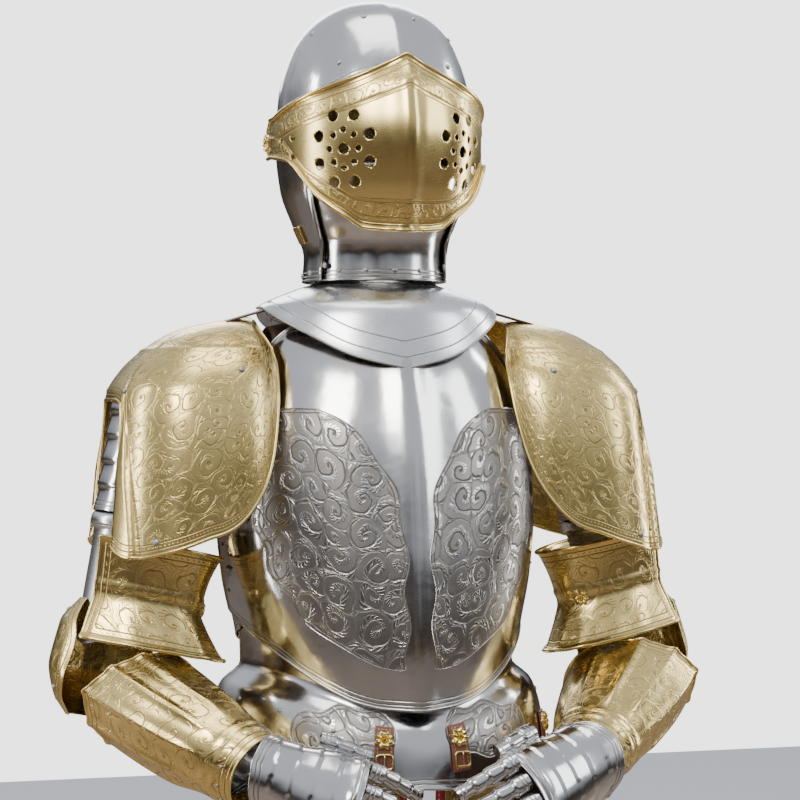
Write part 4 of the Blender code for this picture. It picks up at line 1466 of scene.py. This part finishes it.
@dataclass
class Cuirass:
    """Gorget, breastplate, backplate and shoulder straps."""

    gorget_rim: float = 1.5
    breast_rim: float = 1.8
    back_rim: float = 1.0
    ridge: float = 9.0
    strap_spread: float = 61.6
    strap_turn: float = -2.2
    strap_height: float = 1408.0
    catch_angle: float = 80.0
    catch_levels: tuple[float, float] = (1205.0, 1262.0)
    catch_wire: float = 1.3

    def build(self) -> None:
        """Make the body's plates and their rivets."""
        front = Plate("gorget_front", "cuirass", GORGET, Metal.SATIN, spread=92,
                      rim=self.gorget_rim,
                      bottom=GORGET_FOOT, lips=(0, 1.0))
        back = Plate("gorget_back", "cuirass", GORGET, Metal.SATIN, spread=96, turn=180,
                     lift=-LAP, rim=self.back_rim, bottom=GORGET_BACK_FOOT)
        breast = Plate("breastplate", "cuirass", TORSO, Metal.STEEL, spread=90,
                       keel=self.ridge, lips=(3.0, 0), top=BREAST_TOP, bottom=BREAST_FOOT,
                       rim=self.breast_rim,
                       zone=breast_zone)
        rear = Plate("backplate", "cuirass", TORSO, Metal.STEEL, spread=96, turn=180,
                     lift=-LAP - SEAM, rim=self.back_rim, top=BACK_TOP, bottom=BACK_FOOT)
        for plate in (front, back, breast, rear):
            plate.build()
        studs = Weld()
        rivets(studs, front, [(a, 1530) for a in (-60, -30, 0, 30, 60)])
        rivets(studs, front, [(sign * 82, 1495) for sign in (-1, 1)])
        rivets(studs, back, [(a, 1530) for a in (-60, -20, 20, 60)])
        rivets(studs, breast, [(sign * 84, level) for sign in (-1, 1)
                               for level in (1180, 1230, 1290)])
        rivets(studs, rear, [(sign * 84, level) for sign in (-1, 1)
                             for level in (1160, 1240, 1300)])
        studs.build("cuirass_rivets", "cuirass", Metal.SATIN)
        self.straps()
        self.catches(breast)

    def straps(self) -> None:
        """Make the shoulder straps and the pauldrons' strap ends."""
        for side, word in ((-1, "right"), (1, "left")):
            Plate(f"shoulder_strap_{word}", "cuirass", YOKE, Metal.LEATHER,
                  spread=self.strap_spread, turn=self.strap_turn, side=side,
                  axes=Axes((0, 0, self.strap_height), (1, 0, 0), (0, 0, 1)),
                  thickness=LEATHER, pitch=3.7).build()
            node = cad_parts[f"pauldron_strap_{word}"]
            node.data.materials.clear()
            node.data.materials.append(Wardrobe.material(Metal.LEATHER))

    def catches(self, breast: Plate) -> None:
        """Add the small hook catches at the side seam.

        Args:
            breast: the breastplate that carries them.
        """
        hooks = Weld()
        for sign in (-1, 1):
            for level in self.catch_levels:
                at, facing = breast.spot(sign * self.catch_angle, level, 1.0)
                up = np.array([0.0, 0.0, 1.0])
                side = np.cross(up, facing)
                path = at + np.linspace(-7, 7, 9)[:, None] * side * MM + facing * 1.0 * MM
                hooks.tube(path, self.catch_wire * MM, closed=False,
                           up=np.broadcast_to(facing, path.shape))
                hooks.turned(at, facing, [(r * 1.3, h * 1.3) for r, h in RIVET])
        hooks.build("side_catches", "cuirass", Metal.SATIN)


@dataclass
class Skirt:
    """The fauld and culet with the tassets, their edging, straps and rosettes."""

    strap_angles: tuple[tuple[str, float], ...] = (("inner", 13.0), ("outer", 62.0))
    strap_spread: float = 3.2
    buckle_height: float = 1012.0
    tasset_turn: float = 41.0
    tasset_spread: float = 33.0
    edging_spread: float = 36.0
    tasset_rim: float = 1.5
    tasset_top: float = 1004.0
    lame_spacing: float = 68.0

    def build(self) -> None:
        """Make the skirt."""

        def step(angle: Floats, level: Floats) -> Floats:
            """Raise the lower lame's edge by a small step.

            Args:
                angle: not used.
                level: position along the plate.

            Returns:
                How far the face is raised, in millimetres.
            """
            return 0.9 * (1 - soft_step(level, 1026.0, 1028.0))

        fauld = Plate("fauld", "cuirass", FAULD, Metal.STEEL, spread=92, lips=(0, 2.0),
                      bottom=FAULD_FOOT, drop=FAULD_DROP, rim=1.4, zone=skirt_zone)
        culet = Plate("culet", "cuirass", FAULD, Metal.STEEL, spread=96, turn=180, lift=-LAP,
                      bottom=990, lips=(0, 2.0), rim=1.2, relief=step)
        fauld.build()
        culet.build()
        studs, brass = Weld(), Weld()
        rivets(studs, fauld, [(sign * a, 1068) for sign in (-1, 1) for a in (30, 50, 70, 84)])
        rivets(studs, culet, [(sign * a, 1062) for sign in (-1, 1) for a in (8, 30, 52, 74)])
        studs.build("skirt_rivets", "cuirass", Metal.SATIN)
        for side, word in ((-1, "right"), (1, "left")):
            self.tasset(side, word)
            for place, angle in self.strap_angles:
                self.strap(brass, side, f"tasset_strap_{place}_{word}", angle)
        brass.build("skirt_rosettes", "cuirass", Metal.BRASS)

    def strap(self, brass: Weld, side: int, name: str, angle: float) -> None:
        """Make one hanging strap with its rosette and buckle.

        Args:
            brass: the weld for brass fittings.
            side: -1 right, 1 left.
            name: the strap's node.
            angle: degrees from the front.
        """
        fall = float(along_edge(FAULD_DROP, np.array([angle]))[0])
        piece = Plate(name, "cuirass", FAULD, Metal.RUSSET, spread=self.strap_spread,
                      turn=angle, side=side, lift=LEATHER + STRAP_RISE, thickness=LEATHER,
                      top=STRAP_TOP - fall, bottom=STRAP_FOOT - fall, drop=FAULD_DROP,
                      pitch=2.4)
        piece.build()
        at, facing = piece.spot(0, ROSETTE_HEIGHT - fall, 0.3)
        rosette(brass, at, facing, 1.1)
        buckle(brass, piece, 0, self.buckle_height - fall)

    def tasset(self, side: int, word: str) -> None:
        """Make one tasset and its red cloth edging.

        Args:
            side: -1 right, 1 left.
            word: the side's name.
        """

        def lames(angle: Floats, level: Floats) -> Floats:
            """Step the plate into lames that lap downwards, and ridge its middle.

            Args:
                angle: degrees from the plate's middle.
                level: position along the plate.

            Returns:
                How far the face is raised, in millimetres.
            """
            share = (self.tasset_top - level) / self.lame_spacing
            lap = share - np.floor(share)
            return 1.6 * lap * soft_step(lap, 0.0, 0.2) + 1.8 * bell(angle, 0.0, 2.0)

        plate = Plate(f"tasset_{word}", "cuirass", TASSET, Metal.BRASS, side=side,
                      spread=self.tasset_spread, turn=self.tasset_turn, lips=(0, 2.0),
                      lift=-2.1, rim=self.tasset_rim, relief=lames,
                      bottom=(Edge(0, 735), Edge(24, 752), Edge(33, 790)))
        plate.build()
        studs = Weld()
        rivets(studs, plate, [(sign * 29, 998 - 68 * k) for k in range(4) for sign in (-1, 1)])
        studs.build(f"tasset_rivets_{word}", "cuirass", Metal.SATIN)

        def ripple(angle: Floats, level: Floats) -> Floats:
            """Let the cloth wave softly along its free edge.

            Args:
                angle: degrees from the plate's middle.
                level: position along the plate.

            Returns:
                How far the face is raised, in millimetres.
            """
            free = soft_step(np.abs(angle), 30.0, 36.0) + soft_step(-level, -800.0, -730.0)
            return 0.5 * free * np.sin(level * 0.16 + angle * 0.5)

        edging = Plate(f"tasset_edging_{word}", "cuirass", TASSET, Metal.CLOTH, side=side,
                       spread=self.edging_spread, turn=self.tasset_turn, lift=-2.7 - LAP,
                       thickness=LEATHER, relief=ripple,
                       bottom=(Edge(0, 724), Edge(26, 742), Edge(36, 784)))
        piece = edging.build()


def stepped(count: int, first: float, length: float, step: float, radius: float, taper: float,
            flat: float = 1.0) -> tuple[Section, ...]:
    """Return the sections of overlapping lames, each flaring by one step.

    Args:
        count: how many lames.
        first: where the first starts.
        length: spacing of the lames.
        step: how far each flares.
        radius: the first one's half width.
        taper: narrowing a lame.
        flat: depth as a share of the width.

    Returns:
        The section table.
    """
    table = []
    for number in range(count):
        wide = radius - taper * number
        near, far = first + length * number, first + length * (number + 0.88)
        table.append(Section(near, wide, wide * flat, wide * flat))
        table.append(Section(far, wide + step, (wide + step) * flat, (wide + step) * flat))
    return tuple(table)


def rounds(*rows: tuple[float, float]) -> tuple[Section, ...]:
    """Return round sections from pairs of position and radius."""
    return tuple(Section(at, radius, radius, radius) for at, radius in rows)


UPPER_LENGTH = float(np.linalg.norm(np.subtract(ELBOW, SHOULDER)))
LAMES = stepped(5, 32, 27, 2.4, 50.5, 0.8)
LAME_END = UPPER_LENGTH - LAMES[-1].at
CANNON = rounds((LAME_END + 12, 43), (LAME_END - 1.2, 45.6), (LAME_END - 3.2, 50),
                (LAME_END - 14, 50), (LAME_END - 18, 45), (90, 43), (40, 42))
COUTER = rounds((74, 44.9), (46, 61.2), (4, 63.6), (-30, 54), (-50, 37))
VAMBRACE = rounds((20, 54), (46, 46), (70, 40), (140, 37), (215, 38.1))
POLEYN = rounds((544, 57.6), (528, 70), (500, 77), (472, 70), (456, 55.9))


@dataclass
class Arm:
    """One shoulder, upper arm and elbow."""

    side: int
    word: str
    wedge_top: float = 1392.0
    wedge_height: float = 165.0
    wedge_lift: float = 6.5
    wedge_edge: float = 1.2
    shoulder_bead: float = 1442.0
    pauldron_rim: float = 2.0
    wing_rim: float = 2.2
    wing_waist: float = 92.0
    pauldron_rivets: tuple[tuple[float, float], ...] = (
        (-24, 1398), (24, 1398), (-100, 1420), (100, 1420), (-60, 1240), (60, 1245))
    lame_rivets: tuple[float, ...] = (-75, 75, 165)
    cannon_rivets: tuple[float, ...] = (-60, 60, 180)
    couter_rivets: tuple[tuple[float, float], ...] = (
        (66, 52), (38, 60), (12, 62), (60, -24), (30, -36))
    wing_rosette: tuple[float, float] = (18, 84)

    def pauldron(self) -> Plate:
        """Return the broad shoulder plate with its raised wedge.

        Returns:
            The shoulder plate.
        """

        def wedge(angle: Floats, level: Floats) -> Floats:
            """Raise a wedge that opens downwards, and a band round the shoulder's top.

            Args:
                angle: degrees from the plate's middle.
                level: position along the plate.

            Returns:
                How far the face is raised, in millimetres.
            """
            share = np.clip((self.wedge_top - level) / self.wedge_height, 0.0, 1.0)
            away, soft = np.abs(angle), self.wedge_edge
            inner, outer = 24.0 + 5.0 * share, 26.0 + 22.0 * share
            body = soft_step(away, inner - soft, inner + soft) * (
                1 - soft_step(away, outer - soft, outer + soft))
            raised = self.wedge_lift * body * soft_step(share, 0.02, 0.6)
            return raised + 1.2 * bell(level, self.shoulder_bead, 2.6)

        return Plate(f"pauldron_{self.word}", "cuirass", PAULDRON, Metal.BRASS, spread=136,
                     turn=90, side=self.side, square=2.5, bottom=PAULDRON_EDGE,
                     rim=self.pauldron_rim,
                     relief=wedge, pitch=3.9, zone=wedge_zone)

    def build(self) -> None:
        """Make the shoulder, lames, upper cannon and elbow."""
        shoulder, elbow = np.array(SHOULDER, float), np.array(ELBOW, float)
        fore = np.subtract(WRIST, ELBOW)
        down, up = Axes(shoulder, elbow - shoulder, fore), Axes(elbow, shoulder - elbow, fore)
        pauldron = self.pauldron()
        pauldron.build()
        lames = Plate(f"upper_arm_lames_{self.word}", "cuirass", LAMES, Metal.STEEL, spread=180,
                      axes=down, side=self.side, thickness=THIN, pitch=2.9)
        lames.build()
        cannon = Plate(f"rerebrace_{self.word}", "cuirass", CANNON, Metal.SATIN, spread=180,
                       axes=up, side=self.side, bottom=REREBRACE_FOOT, pitch=3.9, rim=1.0)
        cannon.build()

        def shell(angle: Floats, level: Floats) -> Floats:
            """Flute the elbow cup like a shell about its point."""
            return 1.1 * bell(level, 4.0, 20.0) * np.cos(np.radians(angle * 9.0)) ** 2

        couter = Plate(f"couter_{self.word}", "cuirass", COUTER, Metal.BRASS, spread=92,
                       turn=180, axes=up, side=self.side, narrow=COUTER_EARS, rim=0.8,
                       lift=0.3, thickness=1.4, pitch=3.7, relief=shell)
        couter.build()

        def flutes(angle: Floats, level: Floats) -> Floats:
            """Raise a ridge round the waist of the wing, and fan flutes below it."""
            fan = np.cos(np.radians(angle * 7.5)) ** 2 * (1 - soft_step(level, 50.0, 70.0))
            return 1.6 * bell(level, self.wing_waist, 3.0) + 1.2 * fan

        wing = Plate(f"couter_wing_{self.word}", "cuirass", WING, Metal.BRASS, spread=104,
                     side=self.side, axes=Axes(elbow, shoulder - elbow, WING_FACING),
                     lips=(2.0, 2.5), rim=self.wing_rim, pitch=3.9, relief=flutes)
        wing.build()
        studs, brass = Weld(), Weld()
        rivets(studs, pauldron, self.pauldron_rivets, 1.5)
        rivets(studs, lames, [(angle, 45 + 27 * k) for k in range(5)
                              for angle in self.lame_rivets])
        rivets(studs, cannon, [(angle, LAME_END - 24) for angle in self.cannon_rivets])
        rivets(studs, couter, [(sign * angle, level) for sign in (-1, 1)
                               for angle, level in self.couter_rivets], 1.2)
        studs.build(f"arm_rivets_{self.word}", "cuirass", Metal.SATIN)
        at, facing = couter.spot(0, 4, 0.6)
        rosette(brass, at, facing, 1.0)
        angle, level = self.wing_rosette
        at, facing = wing.spot(self.side * angle, level, 0.4)
        rosette(brass, at, facing, 0.85)
        brass.build(f"couter_studs_{self.word}", "cuirass", Metal.BRASS)


@dataclass
class Forearm:
    """One lower arm with its gauntlet."""

    side: int
    word: str
    flute_angles: tuple[int, ...] = (-96, -64, -34, 0, 34, 64, 96)
    flute_height: float = 3.4
    band_levels: tuple[float, float] = (205.0, 216.0)
    cuff_rim: float = 1.8
    hand_rim: float = 1.0
    finger_radius: float = 9.9
    thumb_radius: float = 10.5
    glove_finger_radius: float = 6.6

    @property
    def body(self) -> str:
        """Return the moving body's name."""
        return f"forearm_{self.word}"

    def cuff(self) -> Plate:
        """Return the flared cuff with radiating flutes.

        Returns:
            The cuff.
        """

        def flutes(angle: Floats, level: Floats) -> Floats:
            """Raise ridges that spread from the wrist, and two bands round it.

            Args:
                angle: degrees from the plate's middle.
                level: position along the plate.

            Returns:
                How far the face is raised, in millimetres.
            """
            fan = sum(bell(angle, centre, 4.6) for centre in self.flute_angles)
            bands = sum(bell(level, centre, 2.2) for centre in self.band_levels)
            return self.flute_height * fan * (1 - soft_step(level, 160.0, 200.0)) + 1.3 * bands

        along = np.subtract(WRIST, ELBOW)
        return Plate(f"gauntlet_cuff_{self.word}", self.body, CUFF, Metal.BRASS, spread=180,
                     axes=Axes(ELBOW, along, CUFF_FACING), side=self.side, lips=(2.0, 0),
                     top=CUFF_TOP, rim=self.cuff_rim, pitch=3.4, relief=flutes)

    def build(self) -> None:
        """Make the vambrace, cuff, hand, fingers and thumb."""
        elbow, wrist = np.array(ELBOW, float), np.array(WRIST, float)
        Plate(f"vambrace_{self.word}", self.body, VAMBRACE, Metal.STEEL, spread=180,
              axes=Axes(elbow, wrist - elbow, np.subtract(SHOULDER, ELBOW)), side=self.side,
              top=VAMBRACE_TOP, lift=-0.2).build()
        cuff = self.cuff()
        cuff.build()
        tip = np.array(TIPS[self.word], float)
        hand = Axes(wrist, tip - wrist, HAND_FACING)

        def knuckles(angle: Floats, level: Floats) -> Floats:
            """Step the back of the hand into lames, with a knuckle ridge.

            Args:
                angle: degrees from the plate's middle.
                level: position along the plate.

            Returns:
                How far the face is raised, in millimetres.
            """
            share = (level + 20.0) / 22.0
            lap = share - np.floor(share)
            return 1.2 * lap * soft_step(lap, 0.0, 0.15) + 2.0 * bell(level, 86.0, 4.0) * np.cos(
                np.radians(angle * 3.6)) ** 2

        back = Plate(f"gauntlet_hand_{self.word}", self.body, HAND, Metal.STEEL, spread=105,
                     axes=hand, side=self.side, top=HAND_TOP, rim=self.hand_rim, pitch=2.4,
                     relief=knuckles)
        back.build()
        Plate(f"glove_palm_{self.word}", self.body, HAND, Metal.LEATHER, spread=76, turn=180,
              axes=hand, side=self.side, lift=-3.0, thickness=1.4, top=-14.0, bottom=92.0,
              pitch=2.9).weld().build(f"glove_palm_{self.word}", self.body, Metal.LEATHER)
        studs = Weld()
        rivets(studs, back, [(a, level) for a in (-82, 82) for level in (14, 36, 58, 80)], 0.9)
        rivets(studs, cuff, [(a, 222) for a in range(-150, 181, 30)], 0.8)
        studs.build(f"gauntlet_rivets_{self.word}", self.body, Metal.SATIN)
        self.fingers(wrist, hand)

    def fingers(self, wrist: Floats, hand: Axes) -> None:
        """Make each finger as a row of lapped scales over a leather glove finger.

        Args:
            wrist: the wrist, in millimetres.
            hand: the hand's axes.
        """
        top = hand.side * np.sign(hand.side[2])
        palm = hand.back
        glove = Weld()
        for place, length, finger in FINGERS:
            base = wrist + hand.along * FINGER_START + top * place * FINGER_SPREAD - palm * 14
            table = stepped(4, 0, length / 4, 1.0, self.finger_radius, 0.8, 0.95)
            axes = Axes(base, hand.along + palm * FINGER_BEND, -palm)
            scale = Plate(f"gauntlet_{finger}_finger_{self.word}", self.body, table, Metal.STEEL,
                          spread=95, axes=axes, side=self.side, thickness=THIN,
                          curl=FINGER_CURL, pitch=1.6)
            scale.build()
            self.glove_finger(glove, scale, length)
        base = wrist + hand.along * 40 + top * 54 + palm * 2
        table = stepped(3, 0, 19, 1.0, self.thumb_radius, 1.0, 0.95)
        thumb = Plate(f"gauntlet_thumb_{self.word}", self.body, table, Metal.STEEL, spread=95,
                      axes=Axes(base, hand.along + palm * 0.1, top - palm * 1.2),
                      side=self.side, thickness=THIN, pitch=1.6)
        thumb.build()
        self.glove_finger(glove, thumb, 56)
        glove.build(f"glove_fingers_{self.word}", self.body, Metal.LEATHER)

    def glove_finger(self, into: Weld, scale: Plate, length: float) -> None:
        """Add the glove's finger under a row of scales, as a bar that follows its curl.

        Args:
            into: the weld that gathers the surface.
            scale: the finger's scales.
            length: the finger's length in millimetres.
        """
        level = np.linspace(1.0, length - 2.0, 16)
        full = max(abs(scale.table[-1].at - scale.table[0].at), 1.0)
        bend = scale.curl * level ** 2 / full
        local = np.stack([level * 0, bend + 1.2, level], axis=-1)
        into.tube(scale.settle(local), self.glove_finger_radius * MM, sides=14, closed=False)


@dataclass
class Leg:
    """One leg: thigh, knee, shin and foot."""

    side: int
    word: str
    cuisse_rim: float = 1.2
    knee_height: float = 500.0
    shin_ridge: float = 1.2
    toe_lame: float = 21.0
    rivet_angle: float = 84.0

    def build(self) -> None:
        """Make the leg's plates."""
        hip = Axes(HIP)
        shin = f"shin_{self.word}"
        cuisse = Plate(f"cuisse_{self.word}", "cuirass", CUISSE, Metal.STEEL, spread=180,
                       axes=hip, side=self.side, bottom=CUISSE_FOOT, rim=self.cuisse_rim)
        cuisse.build()

        def wing(angle: Floats, level: Floats) -> Floats:
            """Raise a ridge over the knee and flutes at its sides."""
            return 1.6 * bell(angle, 0.0, 3.0) + 1.0 * bell(level, self.knee_height, 16.0) * np.cos(
                np.radians(angle * 6.0)) ** 2

        poleyn = Plate(f"poleyn_{self.word}", "cuirass", POLEYN, Metal.BRASS, spread=100,
                       axes=hip, side=self.side, rim=1.3, pitch=3.9, relief=wing)
        poleyn.build()
        greave = Plate(f"greave_{self.word}", shin, GREAVE, Metal.STEEL, spread=180, axes=hip,
                       side=self.side, top=GREAVE_TOP, bottom=GREAVE_FOOT, rim=1.0,
                       relief=lambda angle, level: self.shin_ridge * bell(angle, 0.0, 5.0))
        greave.build()

        def lames(angle: Floats, level: Floats) -> Floats:
            """Step the shoe into lames that lap towards the toe.

            Args:
                angle: not used.
                level: position along the plate.

            Returns:
                How far the face is raised, in millimetres.
            """
            share = (level - 26.0) / self.toe_lame
            lap = share - np.floor(share)
            return 1.5 * (1 - lap) * soft_step(1 - lap, 0.0, 0.2)

        foot = Axes((HIP[0], HIP[1], SOLE + SEAM), (0, -1, 0), (0, 0, 1))
        sabaton = Plate(f"sabaton_{self.word}", shin, SABATON, Metal.STEEL, spread=88, axes=foot,
                        side=self.side, top=SABATON_TOP, pitch=3.2, relief=lames)
        sabaton.build()
        studs = Weld()
        rivets(studs, cuisse, [(sign * self.rivet_angle, level) for sign in (-1, 1)
                               for level in (600, 680, 760, 840)])
        studs.build(f"thigh_rivets_{self.word}", "cuirass", Metal.SATIN)
        low = Weld()
        rivets(low, greave, [(sign * 88, level) for sign in (-1, 1) for level in (120, 240, 360)])
        low.build(f"shin_rivets_{self.word}", shin, Metal.SATIN)
        brass = Weld()
        at, facing = poleyn.spot(0, self.knee_height, 0.4)
        rosette(brass, at, facing, 1.1)
        brass.build(f"knee_rosette_{self.word}", "cuirass", Metal.BRASS)
        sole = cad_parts[f"sole_{self.word}"]
        sole.data.materials.clear()
        sole.data.materials.append(Wardrobe.material(Metal.LEATHER))


class Lamp(NamedTuple):
    """A soft area light: name, place, width and height in metres, watts and tint."""

    name: str
    at: tuple[float, float, float]
    size: tuple[float, float]
    power: float
    colour: tuple[float, float, float] = (1.0, 1.0, 1.0)


@dataclass
class Studio:
    """Camera, floor and soft lights."""

    azimuth: float = -16.0
    distance: float = 2.6
    width: float = 0.896
    target: tuple[float, float, float] = (0.028, -0.008, -0.0524)
    lamps: tuple[Lamp, ...] = (
        Lamp("key", (-1.9, -2.7, 2.3), (1.3, 1.3), 85.0, (1.0, 0.97, 0.93)),
        Lamp("fill", (3.0, -1.6, 1.4), (1.0, 1.8), 30.0, (0.94, 0.97, 1.0)),
        Lamp("strip_left", (-2.6, 0.4, 0.3), (0.35, 2.6), 38.0),
        Lamp("strip_right", (2.6, 0.6, 0.4), (0.35, 2.6), 38.0),
        Lamp("top", (0.0, -0.4, 2.8), (1.8, 1.8), 42.0),
        Lamp("back", (0.6, 3.0, 1.6), (2.0, 1.6), 50.0))

    def camera(self) -> None:
        """Stand the camera where the photograph was taken from."""
        data = bpy.data.cameras.new("camera")
        data.lens = data.sensor_width * self.distance / self.width
        turn = math.radians(self.azimuth)
        back = Vector((math.sin(turn), -math.cos(turn), 0.0))
        camera = bpy.data.objects.new("camera", data)
        camera.location = Vector(self.target) + back * self.distance
        camera.rotation_mode = "QUATERNION"
        camera.rotation_quaternion = (-back).to_track_quat("-Z", "Y")
        bpy.context.scene.collection.objects.link(camera)
        bpy.context.scene.camera = camera

    def light(self, spec: Lamp) -> None:
        """Add a soft area light that points at the suit.

        Args:
            spec: the light's name, place, size, power and tint.
        """
        data = bpy.data.lights.new(spec.name, "AREA")
        data.shape = "RECTANGLE"
        data.size, data.size_y = spec.size
        data.energy = spec.power
        data.color = spec.colour
        lamp = bpy.data.objects.new(spec.name, data)
        lamp.location = spec.at
        lamp.rotation_mode = "QUATERNION"
        aim = Vector(self.target) - Vector(spec.at)
        lamp.rotation_quaternion = aim.to_track_quat("-Z", "Y")
        bpy.context.scene.collection.objects.link(lamp)

    def world(self) -> None:
        """Paint a plain pale backdrop that darkens below for the metal to mirror."""
        world = bpy.data.worlds.new("studio")
        world.use_nodes = True
        graph = Graph(world.node_tree)
        shader = world.node_tree.nodes["Background"]
        rise = graph.split(graph.node("ShaderNodeTexCoord").outputs["Generated"])[2]
        cloud = graph.noise(graph.node("ShaderNodeTexCoord").outputs["Generated"], 2.2, 3.0)
        rise = rise + (cloud - 0.5) * 0.6
        sky = graph.blend((rise * 2.6 - 0.12).math("MAXIMUM", 0.0).math("MINIMUM", 1.0),
                          (0.03, 0.026, 0.024), (0.72, 0.76, 0.84))
        ground = (rise * -3.0).math("MAXIMUM", 0.0).math("MINIMUM", 1.0)
        tone = graph.blend(ground, sky, (0.20, 0.15, 0.11))
        seen = graph.term(graph.node("ShaderNodeLightPath").outputs["Is Camera Ray"])
        graph.link(graph.blend(seen, tone, (3.0, 3.0, 2.97)), shader.inputs["Color"])
        shader.inputs["Strength"].default_value = 1.0
        bpy.context.scene.world = world

    def floor(self) -> None:
        """Lay the pale floor at the soles; glossy rays see it painted dark brown, a painted
        reflection of ground for the metal to mirror.
        """
        mesh = bpy.data.meshes.new("floor")
        low = -HELD_AT * MM - 0.0005
        mesh.from_pydata([(-6, -6, low), (6, -6, low), (6, 6, low), (-6, 6, low)], [],
                         [(0, 1, 2, 3)])
        floor = bpy.data.objects.new("floor", mesh)
        material = bpy.data.materials.new("pale_floor")
        material.use_nodes = True
        shader = material.node_tree.nodes["Principled BSDF"]
        graph = Graph(material.node_tree)
        place = graph.node("ShaderNodeTexCoord").outputs["Object"]
        tone = graph.blend(graph.noise(place, 2.0), (0.80, 0.80, 0.79), (0.84, 0.84, 0.83))
        # Painted reflection: rays mirrored off the metal see this floor as dark brown ground, while
        # the camera sees it pale.
        seen = graph.term(graph.node("ShaderNodeLightPath").outputs["Is Glossy Ray"])
        painted_ground_reflection = graph.blend(graph.noise(place, 1.3, 4.0), (0.13, 0.10, 0.08), (0.34, 0.27, 0.21))
        graph.link(graph.blend(seen, tone, painted_ground_reflection), shader.inputs["Base Color"])
        shader.inputs["Roughness"].default_value = 0.7
        mesh.materials.append(material)
        bpy.context.scene.collection.objects.link(floor)

    def build(self) -> None:
        """Set up the studio."""
        self.camera()
        self.world()
        self.floor()
        for spec in self.lamps:
            self.light(spec)


def main() -> None:
    """Dress the suit and set up the studio."""
    logging.basicConfig(level=logging.INFO, format="%(name)s: %(message)s")
    parts: list[object] = [Helmet(), Cuirass(), Skirt()]
    for side, word in ((-1, "right"), (1, "left")):
        parts += [Arm(side, word), Forearm(side, word), Leg(side, word)]
    parts.append(Studio())
    for part in parts:
        part.build()
        log.info("built %s", type(part).__name__)


if __name__ == "__main__":
    main()
